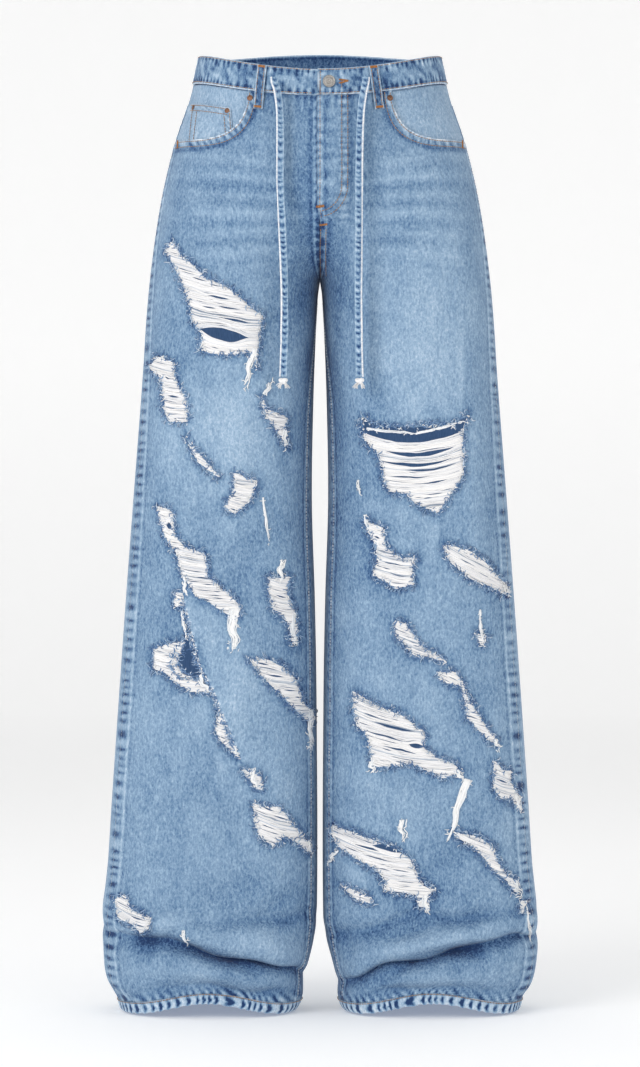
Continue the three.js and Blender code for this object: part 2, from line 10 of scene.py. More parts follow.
import bpy
import numpy as np
from bpy.props import FloatProperty, FloatVectorProperty, IntProperty, PointerProperty
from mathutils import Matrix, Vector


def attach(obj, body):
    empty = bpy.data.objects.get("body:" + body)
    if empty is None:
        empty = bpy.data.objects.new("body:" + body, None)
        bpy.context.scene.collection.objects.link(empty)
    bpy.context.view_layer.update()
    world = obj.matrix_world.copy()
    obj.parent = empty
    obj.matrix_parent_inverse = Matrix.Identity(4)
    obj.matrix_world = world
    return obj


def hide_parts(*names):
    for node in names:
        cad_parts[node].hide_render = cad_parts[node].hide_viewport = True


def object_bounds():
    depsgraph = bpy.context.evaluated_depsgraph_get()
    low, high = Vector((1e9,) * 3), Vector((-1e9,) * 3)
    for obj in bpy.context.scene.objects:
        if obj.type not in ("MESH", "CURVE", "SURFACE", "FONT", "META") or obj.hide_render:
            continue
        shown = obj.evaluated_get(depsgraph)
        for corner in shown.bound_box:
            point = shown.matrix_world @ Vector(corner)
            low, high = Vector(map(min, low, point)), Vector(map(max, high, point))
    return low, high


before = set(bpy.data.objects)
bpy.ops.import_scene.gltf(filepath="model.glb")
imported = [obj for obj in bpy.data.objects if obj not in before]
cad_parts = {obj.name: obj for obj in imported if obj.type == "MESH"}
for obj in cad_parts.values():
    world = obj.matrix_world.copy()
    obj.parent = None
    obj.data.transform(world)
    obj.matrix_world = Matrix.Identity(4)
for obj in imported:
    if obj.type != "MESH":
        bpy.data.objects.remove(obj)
CAD_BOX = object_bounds()

bl_info = {
    "name": "Ripped Wide-Leg Jeans",
    "version": (1, 0, 0),
    "blender": (4, 5, 0),
    "location": "3D View > Sidebar > Jeans",
    "description": "Builds worn-form ripped denim trousers, with their threads, seams and metal",
    "category": "Object",
}

MM = 0.001
TAU = 2 * math.pi
SIDES = ("left", "right")

# ---- Driving sizes of the cut, in millimetres ----

CLOTH = 1.3
PATCH = 1.1
SEAM_GAP = 0.3
BAND_HEIGHT = 33
BAND_WALL = 3
BAND_PROUD = 1
HEM_HEIGHT = 13
HEM_WALL = 2.6
HEM_LEVEL = -1121
HEM_ARCH = 15
ARCH_START = -1040
CROTCH_LEVEL = -265
CROTCH_START = -140
THIGH_START = -70
THIGH_END = -400
FRONT_DIP = -25
BACK_RISE = 17
WAIST_TILT_END = -200
CENTRE_BLEND = 0.7
LEG_SQUARENESS = 0.22
HIP_SQUARENESS = 0.15
ROLL_ABOVE = 17
ROLL_BELOW = 22
ROLL_HALF = 15
CREASE_HALF = 8
SIDEWAYS_SHARE = 0.35
FLY_BOTTOM = -204
FLY_WIDTH = 31
LAP = 2.4
LAP_LIFT = 1.9
LAP_FADE = 22
YOKE_SIDE = 32
YOKE_CENTRE = 62
YOKE_SETTLED = -222
SEAM_LEVEL = -BAND_HEIGHT - SEAM_GAP
HEM_TOP = HEM_LEVEL + HEM_HEIGHT
PANEL_BOTTOM = HEM_TOP + SEAM_GAP
COIN_OFFSET = -1.8
FACING_OFFSET = -3.3
FACING_MARGIN = 12


# ---- Small formulas ----


def mix(a, b, t):
    return a + (b - a) * t


def smooth_step(t):
    t = np.clip(t, 0, 1)
    return t * t * (3 - 2 * t)


def bump(t):
    return np.exp(-t * t)


def unit(vectors):
    return vectors / np.maximum(np.linalg.norm(vectors, axis=-1, keepdims=True), 1e-9)


def cubic_between(knots, values, at):
    """Cubics through the values at rising knots, each with the slope of the chord between the
    neighbours at its ends."""
    knots, values = np.asarray(knots, float), np.asarray(values, float)
    last = len(knots) - 1
    before, after = np.maximum(np.arange(last + 1) - 1, 0), np.minimum(np.arange(last + 1) + 1, last)
    slopes = (values[after] - values[before]) / (knots[after] - knots[before]).reshape(
        (-1,) + (1,) * (values.ndim - 1)
    )
    at = np.clip(at, knots[0], knots[-1])
    i = np.clip(np.searchsorted(knots, at, side="right") - 1, 0, last - 1)
    span = knots[i + 1] - knots[i]
    t = (at - knots[i]) / span
    if values.ndim > 1:
        span, t = span[..., None], t[..., None]
    leave, arrive = t * (1 - t) ** 2, t * t * (t - 1)
    return mix(values[i], values[i + 1], t * t * (3 - 2 * t)) + span * (
        slopes[i] * leave + slopes[i + 1] * arrive
    )


def smooth_curve(points):
    """A smooth function of the level through [level, value] points listed downwards."""
    levels, values = np.array(points[::-1], float).T
    return lambda level: cubic_between(levels, values, level)


def lengths_along(points):
    """The length of a line from its start to each of its points."""
    return np.concatenate(([0], np.cumsum(np.linalg.norm(np.diff(points, axis=0), axis=1))))


def points_at(at, lengths, values):
    """A line's points, or whatever goes with them, at some lengths along it."""
    return np.stack([np.interp(at, lengths, column) for column in values.T], -1)


def squared_circle(count, power):
    """Cosines and sines round a circle, drawn out towards a rounded square by the power."""
    angle = TAU * (np.arange(count) + 0.5) / count
    return [np.sign(wave) * np.abs(wave) ** power for wave in (np.cos(angle), np.sin(angle))]


def value_noise(x, y, seed):
    """Smooth noise from 0 to 1 with one cell for each unit: hashed corner values, blended."""
    x, y = np.broadcast_arrays(np.asarray(x, float), np.asarray(y, float))
    column, row = np.floor(x).astype(np.int64), np.floor(y).astype(np.int64)
    u, v = smooth_step(x - column), smooth_step(y - row)

    def corner(i, j):
        h = (i * 374761393 + j * 668265263 + seed * 1442695041) & 0xFFFFFFFF
        h = ((h ^ (h >> 13)) * 1274126177) & 0xFFFFFFFF
        return ((h ^ (h >> 16)) & 0xFFFF) / 0xFFFF

    low = mix(corner(column, row), corner(column + 1, row), u)
    high = mix(corner(column, row + 1), corner(column + 1, row + 1), u)
    return mix(low, high, v)


# ---- The body surface ----

OUTER = smooth_curve([
    (0, 142), (-50, 153.5), (-97, 169), (-168, 186), (-263, 200), (-404, 211), (-640, 229),
    (-876, 245.5), (-947, 250), (-1000, 255), (-1062, 254.5), (-1080, 252), (-1094, 246.5),
    (-1108, 238), (-1121, 234),
])
INNER = smooth_curve([
    (-265, 0.4), (-280, 2.6), (-310, 4.2), (-404, 7.7), (-522, 9.5), (-640, 6), (-758, 4),
    (-1010, 3.6), (-1041, 8), (-1080, 20), (-1104, 21.5), (-1121, 28),
])
HIP_FRONT = smooth_curve([(0, 88), (-100, 102), (-200, 106), (-265, 104)])
HIP_BACK = smooth_curve([(0, 100), (-100, 124), (-180, 132), (-265, 124)])
LEG_FRONT = smooth_curve([(-70, 100), (-265, 104), (-404, 99), (-600, 88), (-850, 80), (-1121, 78)])
LEG_BACK = smooth_curve([(-70, 124), (-265, 122), (-404, 108), (-600, 92), (-850, 88), (-1121, 82)])
SIDE_SEAM = smooth_curve([(-60, 0), (-168, 0.09), (-263, 0.22), (-404, 0.32), (-560, 0.36), (-1121, 0.36)])
INSEAM = smooth_curve([
    (-265, math.pi), (-330, math.pi - 0.14), (-430, math.pi - 0.32), (-1121, math.pi - 0.32),
])

# Stacked folds above each hem: levels at the outer side, front, inner side and back, then how far
# the cloth rolls out, is tucked in at the crease, and hangs down.
FOLDS = {
    "left": [
        (-1027, -1047, -1085, -1055, 9, 10, 8),
        (-1000, -1006, -1032, -1008, 0, 6, 0),
        (-1096, -1096, -1098, -1094, 3, 4, 2),
    ],
    "right": [
        (-1022, -1043, -1072, -1046, 9, 10, 8),
        (-1049, -1014, -1010, -1020, 0, 5, 0),
        (-1098, -1096, -1094, -1092, 3, 4, 2),
    ],
}

# Soft troughs (negative) and ridges in the front, as a line from (x, z) to (x, z), the distance
# over which each dies away, and its height.
FRONT_CREASES = [
    # hips, fanning out from the fly
    (-28, -128, -128, -112, 7, -0.9), (-30, -150, -150, -136, 7, 0.9), (-32, -172, -160, -158, 8, -1.1),
    (-30, -196, -165, -184, 9, 1.1), (-26, -222, -160, -212, 9, -1.2),
    (34, -128, 128, -112, 7, -0.9), (36, -150, 150, -136, 7, 0.9), (38, -172, 160, -158, 8, -1.1),
    (36, -196, 165, -184, 9, 1.1), (30, -222, 160, -212, 9, -1.2),
    # fly and crotch
    (6, -206, -14, -250, 6, -1.2), (2, -232, -46, -272, 8, -1.6), (2, -240, 46, -276, 8, -1.6),
    (6, -262, 62, -330, 9, -1.8), (-6, -262, -60, -330, 9, -1.8), (10, -300, 44, -420, 10, 1.4),
    (-10, -300, -42, -420, 10, 1.4),
    # thighs
    (-165, -300, -120, -420, 16, -1.6), (-60, -360, -96, -500, 18, 1.8), (-150, -470, -128, -620, 20, -1.5),
    (150, -280, 140, -400, 18, -1.2), (60, -330, 92, -470, 16, -1.4), (186, -420, 176, -560, 14, 1.4),
    # knees and shins
    (-196, -560, -120, -500, 16, 1.6), (-60, -560, -110, -640, 18, -1.8), (-200, -660, -110, -740, 18, -1.8),
    (-70, -700, -130, -800, 20, 1.8), (-190, -820, -70, -900, 20, -1.6), (-40, -820, -70, -960, 16, 1.4),
    (40, -560, 110, -650, 18, -1.8), (200, -560, 130, -640, 18, 1.6), (60, -700, 150, -700, 16, -1.5),
    (210, -700, 160, -820, 18, -1.6), (40, -850, 130, -880, 14, 1.5), (200, -880, 90, -1000, 20, -1.7),
    # over the hems
    (-236, -1000, -190, -1033, 9, -2.6), (-190, -1033, -118, -1052, 7, -3.4),
    (-124, -1050, -60, -1072, 7, -2.8), (-218, -1050, -184, -1040, 6, -2.4),
    (-226, -1018, -150, -1012, 10, 2.2), (-150, -1012, -40, -1030, 12, 2.0),
    (-240, -1064, -120, -1076, 9, 1.8), (-70, -1000, -20, -980, 10, -1.8), (-60, -960, -130, -985, 14, -1.4),
    (60, -1033, 142, -1010, 7, -3.0), (142, -1010, 212, -1006, 7, -2.4), (47, -1090, 114, -1053, 6, -3.0),
    (114, -1053, 205, -1038, 7, -3.6), (205, -1038, 236, -1030, 7, -2.8), (156, -1044, 198, -1057, 6, -2.6),
    (70, -1052, 190, -1022, 9, 2.2), (40, -1060, 20, -1020, 9, -2.0), (60, -990, 170, -975, 13, -1.4),
    (20, -940, 60, -1000, 14, 1.6), (110, -1080, 230, -1066, 9, 1.8),
]
# The same behind. The seat hangs in shallow folds, and the knees' backs have the deepest ones.
BACK_CREASES = [
    (10, -250, 90, -290, 10, -2.0), (-10, -250, -90, -290, 10, -2.0), (14, -272, 120, -330, 12, -2.2),
    (-14, -272, -120, -330, 12, -2.2), (20, -300, 150, -345, 12, 1.8), (-20, -300, -150, -345, 12, 1.8),
    (160, -250, 90, -282, 10, -1.4), (-160, -250, -90, -282, 10, -1.4), (12, -180, 60, -196, 10, -1.0),
    (-12, -180, -60, -196, 10, -1.0), (40, -520, 190, -560, 14, -2.4), (-40, -520, -190, -552, 14, -2.4),
    (30, -580, 170, -610, 13, 2.2), (-30, -575, -180, -612, 13, 2.2), (60, -640, 200, -655, 15, -2.2),
    (-55, -636, -196, -664, 15, -2.2), (50, -420, 110, -520, 18, 1.4), (-50, -420, -118, -520, 18, 1.4),
    (70, -760, 160, -840, 20, -1.6), (-70, -750, -166, -850, 20, -1.6), (190, -780, 120, -930, 22, 1.6),
    (-190, -790, -110, -940, 22, 1.6), (40, -900, 110, -1000, 18, -1.5), (-46, -900, -120, -1000, 18, -1.5),
    (-232, -1010, -120, -1046, 9, -2.8), (-120, -1046, -30, -1060, 9, -2.8),
    (-220, -1060, -90, -1030, 8, 2.0),
    (232, -1016, 130, -1050, 9, -2.8), (130, -1050, 36, -1070, 9, -2.8), (216, -1062, 90, -1036, 8, 2.0),
]


def leg_share(theta, level):
    """How far a section has turned from half of the hips (0) into a leg (1): an arc on the centre
    line, so that the centre seams curve under like a J, and a slow step away from it."""
    s = np.clip((CROTCH_START - level) / (CROTCH_START - CROTCH_LEVEL), 0, 1)
    slow = smooth_step((THIGH_START - level) / (THIGH_START - THIGH_END))
    return mix(slow, 1 - np.sqrt(1 - s * s), bump(np.abs(math.pi - theta) / CENTRE_BLEND))


def folds_at(leg, theta, level):
    """Each fold's roll, tuck and drop, and the height above its crease. The fold fades round the
    leg, more so at the outer side of the wearer's right leg."""
    fade = 0.92 - (0.34 if leg == "right" else 0.05) * np.cos(theta) + 0.14 * np.sin(3 * theta + 1)
    fade = fade * (1 - 0.6 * bump((theta - math.pi) / 0.5)) * (1 - 0.45 * bump(np.sin(theta / 2) / 0.2))
    for outer, front, inner, back, push, tuck, drop in FOLDS[leg]:
        middle, twice = (outer + inner + front + back) / 4, (outer + inner - front - back) / 4
        crease = middle + (outer - inner) / 2 * np.cos(theta) + (front - back) / 2 * np.sin(theta)
        crease = crease + 3.0 * np.sin(5 * theta + outer) + 2.0 * np.sin(9 * theta + inner)
        yield push * fade, tuck * fade, drop * fade, level - crease - twice * np.cos(2 * theta)


def fold_painted_shading(leg, theta, level):
    """Painted shading of the folds: painted shade in each tuck and a painted highlight on its roll."""
    tone = 0
    for push, tuck, _, above in folds_at(leg, theta, level):
        tone = tone - 0.038 * tuck * bump((above + 3) / 8) + 0.012 * push * bump((above - 16) / 10)
    return tone


def fold_shift(leg, theta, level):
    """How far the stacked folds move the cloth out, and down: Gaussian rolls above and below each
    crease, and a Gaussian tuck on it."""
    out, down = 0, 0
    for push, tuck, drop, above in folds_at(leg, theta, level):
        out = out + push * (bump((above - ROLL_ABOVE) / ROLL_HALF) + bump((above + ROLL_BELOW) / ROLL_HALF))
        out = out - tuck * bump(above / CREASE_HALF)
        down = down + drop * bump((above - ROLL_ABOVE / 2) / CREASE_HALF)
    return out, down


def half_point(leg, theta, level):
    """The plain surface of the +X half: squared ellipses of the hips blended into those of a leg."""
    theta, level = np.broadcast_arrays(np.asarray(theta, float), np.asarray(level, float))
    front = np.sin(theta) >= 0
    share = leg_share(theta, level)
    turn = np.mod(theta, TAU)
    half_turn = np.minimum(turn, TAU - turn) / 2
    hip_depth = np.where(front, HIP_FRONT(level), HIP_BACK(level))
    hip_x = OUTER(level) * np.cos(half_turn)
    squared = 1 + HIP_SQUARENESS * np.cos(half_turn) ** 2
    hip_y = np.where(front, -1, 1) * hip_depth * np.sin(half_turn) * squared
    out, down = fold_shift(leg, theta, level)
    inner = INNER(level)
    radius = (OUTER(level) - inner) / 2
    leg_x = inner + radius + (radius + out * SIDEWAYS_SHARE) * np.cos(theta)
    leg_depth = np.where(front, LEG_FRONT(level), LEG_BACK(level))
    leg_y = -(leg_depth + out) * np.sin(theta) * (1 + LEG_SQUARENESS * np.cos(theta) ** 2)
    tilt = np.where(front, FRONT_DIP, BACK_RISE) * np.sin(half_turn) ** 2
    tilt = tilt * smooth_step(1 - level / WAIST_TILT_END)
    arch = np.where(front, HEM_ARCH * np.sin(theta) ** 6, 0)
    arch = arch * smooth_step((ARCH_START - level) / (ARCH_START - HEM_LEVEL))
    return np.stack([mix(hip_x, leg_x, share), mix(hip_y, leg_y, share), level + tilt + arch - down], -1)


def crease_height(x, z, creases):
    """The sum of soft ridges: each is a Gaussian across its line, and a half sine along it."""
    height = np.zeros_like(x)
    for x0, z0, x1, z1, half, depth in creases:
        run, rise = x1 - x0, z1 - z0
        length = math.hypot(run, rise)
        along = ((x - x0) * run + (z - z0) * rise) / length**2
        wobble = 0.35 * half * np.sin(3.1 * along + x0)
        across = ((x - x0) * rise - (z - z0) * run) / length + wobble
        deeper = 2.0 if max(z0, z1) < -930 else 1.5
        height += deeper * depth * bump(across / half) * np.sin(math.pi * np.clip(0.1 + 0.8 * along, 0, 1))
    return height


def creased_point(leg, theta, level):
    """The plain surface moved out by its creases and a slow unevenness, none at a leg's sides."""
    point = half_point(leg, theta, level)
    x, z = point[..., 0] * (1 if leg == "left" else -1), point[..., 2]
    sine = np.sin(theta)
    front = sine >= 0
    height = np.where(front, crease_height(x, z, FRONT_CREASES), crease_height(x, z, BACK_CREASES))
    height = height * smooth_step(np.abs(sine) / 0.35)
    uneven = value_noise(x / 46, z / 70, 5) + 0.5 * value_noise(x / 19, z / 33, 6) - 0.75
    height = height + 2.0 * uneven * smooth_step(np.abs(sine) / 0.5) * smooth_step((-60 - z) / 120)
    shift = np.stack([SIDEWAYS_SHARE * np.cos(theta) * height, -sine * height, 0 * height], -1)
    return point + shift


# The step in angle over which a slope is taken.
SMALL_TURN = 0.01


def surface(side, theta, level, lift=0.0):
    """Points of a leg's surface, hips included, and outward normals from its slopes. The points
    are moved out by the lift."""
    theta, level = np.broadcast_arrays(np.asarray(theta, float), np.asarray(level, float))
    point = creased_point(side, theta, level)
    up = creased_point(side, theta, level + 1) - creased_point(side, theta, level - 1)
    around = creased_point(side, theta + SMALL_TURN, level)
    around = around - creased_point(side, theta - SMALL_TURN, level)
    normal = unit(np.cross(up, around))
    point = point + normal * np.asarray(lift)[..., None]
    if side == "right":
        mirror = np.array([-1, 1, 1])
        point, normal = point * mirror, normal * mirror
    return point, normal


def hip_surface(turn, level, lift=0.0):
    """The hips by whole turn: 0 is the wearer's left, a quarter the centre back, and three
    quarters the centre front."""
    turn, level = np.broadcast_arrays(np.asarray(turn, float), np.asarray(level, float))

    def at(turn, level):
        x, y = np.cos(turn), np.sin(turn)
        double = 2 * np.arctan2(np.abs(y), np.abs(x))
        # The centre back is kept just behind the line at which the front's depths begin.
        theta = np.where(y < 0, double, TAU - np.minimum(double, math.pi - 1e-6))
        point = half_point("left", theta, level)
        return point * np.stack([np.where(x < 0, -1.0, 1.0), np.ones_like(x), np.ones_like(x)], -1)

    up = at(turn, level + 1) - at(turn, level - 1)
    around = at(turn + SMALL_TURN, level) - at(turn - SMALL_TURN, level)
    normal = -unit(np.cross(up, around))
    return at(turn, level) + normal * np.asarray(lift)[..., None], normal


def hip_speed(turn, level):
    """The length of hip surface for each unit of turn."""
    ahead, _ = hip_surface(turn + SMALL_TURN, level)
    behind, _ = hip_surface(turn - SMALL_TURN, level)
    return np.linalg.norm(ahead - behind, axis=-1) / (2 * SMALL_TURN)


# How often find_on halves the angle, and the share of each miss in height by which it moves the level.
HALVINGS = 18
LEVEL_GAIN = 0.8


def find_on(side, x, z, behind=False):
    """The angle and level of the surface point in front of (x, z), or behind it: the angle by
    halving, as x runs one way along a leg's front or back, and the level by steps to z."""
    x = np.asarray(x, float) * (1 if side == "left" else -1)
    z = np.asarray(z, float)
    level = z.copy()
    low = np.full(x.shape, math.pi if behind else 0.0)
    high = low + math.pi
    for _ in range(HALVINGS):
        theta = (low + high) / 2
        for _ in range(2):
            level = level + LEVEL_GAIN * (z - half_point(side, theta, level)[..., 2])
        short = half_point(side, theta, level)[..., 0] > x
        short = ~short if behind else short
        low, high = np.where(short, theta, low), np.where(short, high, theta)
    return theta, level


def lap_over(point, normal):
    """Folds the wearer's left front over the right one, as far as the fly goes down."""
    x, z = point[..., 0], point[..., 2]
    along = smooth_step((z - FLY_BOTTOM) / LAP_FADE)
    lift = LAP_LIFT * along * smooth_step(1.35 - x / FLY_WIDTH)
    shift = LAP * along * smooth_step(1 - x / (1.5 * FLY_WIDTH))
    point = point + normal * lift[..., None]
    point[..., 0] -= shift
    return point


def on_front(side, x, z, lift=0.0):
    """Points and normals on a front panel's face over (x, z), lap included."""
    theta, level = find_on(side, x, z)
    point, normal = surface(side, theta, level, lift)
    return (lap_over(point, normal) if side == "left" else point), normal


# ---- Meshes ----


def put_mesh(
    name, points, faces, materials, slots=None, values=None, body="root", stands_for=()
):
    """One object from points in millimetres and a list of faces, each an array of rows of corners.
    Closed shapes that enclose a negative volume are turned to face outwards."""
    triangles = np.concatenate([f[:, [0, k, k + 1]] for f in faces for k in range(1, f.shape[1] - 1)])
    a, b, c = (points[triangles[:, k]] for k in range(3))
    if np.einsum("ij,ij->i", a, np.cross(b, c)).sum() < 0:
        faces = [f[:, ::-1] for f in faces]
    corners = np.concatenate([f.ravel() for f in faces]).astype(np.int32)
    sizes = np.concatenate([np.full(len(f), f.shape[1]) for f in faces])
    mesh = bpy.data.meshes.new(name)
    mesh.vertices.add(len(points))
    mesh.vertices.foreach_set("co", (points * MM).astype(np.float32).ravel())
    mesh.loops.add(len(corners))
    mesh.loops.foreach_set("vertex_index", corners)
    mesh.polygons.add(len(sizes))
    starts = np.concatenate(([0], np.cumsum(sizes)[:-1])).astype(np.int32)
    mesh.polygons.foreach_set("loop_start", starts)
    mesh.polygons.foreach_set("use_smooth", np.ones(len(sizes), bool))
    if slots is not None:
        mesh.polygons.foreach_set("material_index", slots.astype(np.int32))
    for key, value in (values or {}).items():
        attribute = mesh.attributes.new(key, "FLOAT", "POINT")
        attribute.data.foreach_set("value", np.asarray(value, np.float32).ravel())
    mesh.update(calc_edges=True)
    for material in materials:
        mesh.materials.append(material)
    piece = bpy.data.objects.new(name, mesh)
    bpy.context.scene.collection.objects.link(piece)
    if body:
        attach(piece, body)
        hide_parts(*stands_for)
    return piece


def grid_faces(rows, columns, ring=False):
    """Quads over a grid of rows and columns. A ring's last column joins its first."""
    i, j = np.meshgrid(np.arange(rows - 1), np.arange(columns if ring else columns - 1), indexing="ij")
    here, below, after = i * columns, (i + 1) * columns, (j + 1) % columns
    return np.stack([here + j, below + j, below + after, here + after], -1).reshape(-1, 4)


def keep_part(faces, height, arrays):
    """Cuts a mesh along the line where the height is zero and keeps what is above. A face cut
    across gets new corners on its edges, where the height is zero by proportion."""
    triangles = np.concatenate([faces[:, [0, 1, 2]], faces[:, [0, 2, 3]]])
    above = height[triangles] > 0
    count = above.sum(1)
    whole = triangles[count == 3]
    one, two = triangles[count == 1], triangles[count == 2]
    turn_one = np.argmax(above[count == 1], 1)
    turn_two = np.argmin(above[count == 2], 1)
    one = np.take_along_axis(one, (turn_one[:, None] + np.arange(3)) % 3, 1)
    two = np.take_along_axis(two, (turn_two[:, None] + np.arange(3)) % 3, 1)
    cut = np.concatenate([one[:, [0, 1]], one[:, [0, 2]], two[:, [0, 1]], two[:, [0, 2]]])
    edges, where = np.unique(np.sort(cut, 1), axis=0, return_inverse=True)
    where = where.ravel() + len(height)
    a, b = edges.T
    t = height[a] / (height[a] - height[b])
    n, m = len(one), len(two)
    first, second, third, fourth = where[:n], where[n : 2 * n], where[2 * n : 2 * n + m], where[2 * n + m :]
    kept = np.concatenate([
        whole,
        np.stack([one[:, 0], first, second], 1),
        np.stack([third, two[:, 1], two[:, 2]], 1),
        np.stack([third, two[:, 2], fourth], 1),
    ])
    grown = []
    for array in arrays:
        share = t.reshape((-1,) + (1,) * (array.ndim - 1))
        grown.append(np.concatenate([array, mix(array[a], array[b], share)]))
    used, compact = np.unique(kept, return_inverse=True)
    return compact.reshape(kept.shape), [array[used] for array in grown]


def wall(points, normals, faces, thickness):
    """A closed wall: the face, the same face moved in by the thickness, and a strip along every
    open edge. Returns points, faces and the slot of each: 0 outside, 1 inside, 2 the raw edge."""
    count = len(points)
    sides = faces.shape[1]
    edges = np.concatenate([faces[:, [k, (k + 1) % sides]] for k in range(sides)]).astype(np.int64)
    keys, back_keys = edges[:, 0] * count + edges[:, 1], edges[:, 1] * count + edges[:, 0]
    a, b = edges[~np.isin(keys, back_keys)].T
    strip = np.stack([b, a, a + count, b + count], 1)
    inner = points - normals * np.asarray(thickness).reshape(-1, 1)
    slots = np.repeat([0, 1, 2], [len(faces), len(faces), len(strip)])
    return np.concatenate([points, inner]), [faces, faces[:, ::-1] + count, strip], slots


def tubes(paths, radii, normals, sides=4, flat=1.0):
    """Closed tubes along many paths at once. Each section is an ellipse across its path, flattened
    towards the normal."""
    tangents = unit(np.gradient(paths, axis=1))
    across = unit(np.cross(tangents, normals))
    out = np.cross(across, tangents)
    angle = TAU * np.arange(sides) / sides
    radii = np.broadcast_to(radii, paths.shape[:2])[..., None, None]
    ring = np.cos(angle)[:, None] * across[:, :, None] + flat * np.sin(angle)[:, None] * out[:, :, None]
    points = (paths[:, :, None] + radii * ring).reshape(-1, 3)
    many, steps = paths.shape[:2]
    n, s, k = np.meshgrid(np.arange(many), np.arange(steps - 1), np.arange(sides), indexing="ij")
    here, after = (n * steps + s) * sides, (k + 1) % sides
    quads = np.stack([here + k, here + sides + k, here + sides + after, here + after], -1).reshape(-1, 4)
    start = np.arange(many)[:, None] * steps * sides + np.arange(sides)
    end = start[:, ::-1] + (steps - 1) * sides
    return points, [quads, start, end]


def joined(parts):
    """Several (points, faces, values) as one."""
    offset, points, faces, values = 0, [], {}, {}
    for some, groups, extra in parts:
        points.append(some)
        for group in groups:
            faces.setdefault(group.shape[1], []).append(group + offset)
        for key, value in extra.items():
            values.setdefault(key, []).append(value)
        offset += len(some)
    return (
        np.concatenate(points),
        [np.concatenate(group) for group in faces.values()],
        {key: np.concatenate(value) for key, value in values.items()},
    )


# ---- Outlines ----


def inside_distance(x, z, outline):
    """The distance from each point to an outline of (x, z) points, positive inside it."""
    outline = np.asarray(outline, float)
    ax, az = outline.T
    bx, bz = np.roll(outline, -1, axis=0).T
    run, rise = bx - ax, bz - az
    px, pz = x[:, None] - ax, z[:, None] - az
    t = np.clip((px * run + pz * rise) / (run**2 + rise**2), 0, 1)
    nearest = np.sqrt(((px - t * run) ** 2 + (pz - t * rise) ** 2).min(1))
    crosses = (az > z[:, None]) != (bz > z[:, None])
    with np.errstate(divide="ignore", invalid="ignore"):
        left = x[:, None] < ax + (z[:, None] - az) / np.where(rise == 0, 1e-9, rise) * run
    inside = (crosses & left).sum(1) % 2 == 1
    return np.where(inside, nearest, -nearest)


def spaced(line, step, closed=False):
    """Points at even spacing along a line of (x, z) points."""
    line = np.asarray(line, float)
    if closed:
        line = np.concatenate([line, line[:1]])
    lengths = lengths_along(line)
    return points_at(np.arange(0, lengths[-1], step), lengths, line)


def pocket_mouth(grow):
    """A scoop from the waistband seam round to the side seam, by a Bezier curve, moved in by grow."""
    top, side_level = 80 - grow, -101 - grow
    a, b = np.array([top + 3, -52.0]), np.array([top + 6, -100.0 - grow])
    c, d = np.array([top + 38, -110.0 - grow]), np.array([172.0, side_level])
    t = np.linspace(0, 1, 24)[:, None]
    curve = (1 - t) ** 3 * a + 3 * t * (1 - t) ** 2 * b + 3 * t * t * (1 - t) * c + t**3 * d
    return np.concatenate([[[200, -10], [top, -10]], curve, [[200, side_level]]])


def on_side(side, outline):
    """An outline given for the wearer's left, on either side."""
    return np.asarray(outline, float) * ((1, 1) if side == "left" else (-1, 1))


COIN_POCKET = [(172, -52.5), (103.5, -69), (100, -112), (176, -112)]
FLY_FACING = [(0.4, -20), (31, -20), (31, -170), (28, -184), (21, -195), (10, -202), (0.4, -204)]
BACK_POCKET = [(30, -112), (166, -104), (160, -232), (96, -254), (36, -236)]

# ---- Rips ----
# Each has an outline of (x, z) points, the fall of its threads for each unit across, how far they
# sag at the top and the bottom of the rip, and gaps (x, z, half length, half height) between them.
# The threads of one with a ceiling start at that level, so that the rip is open above their sag.

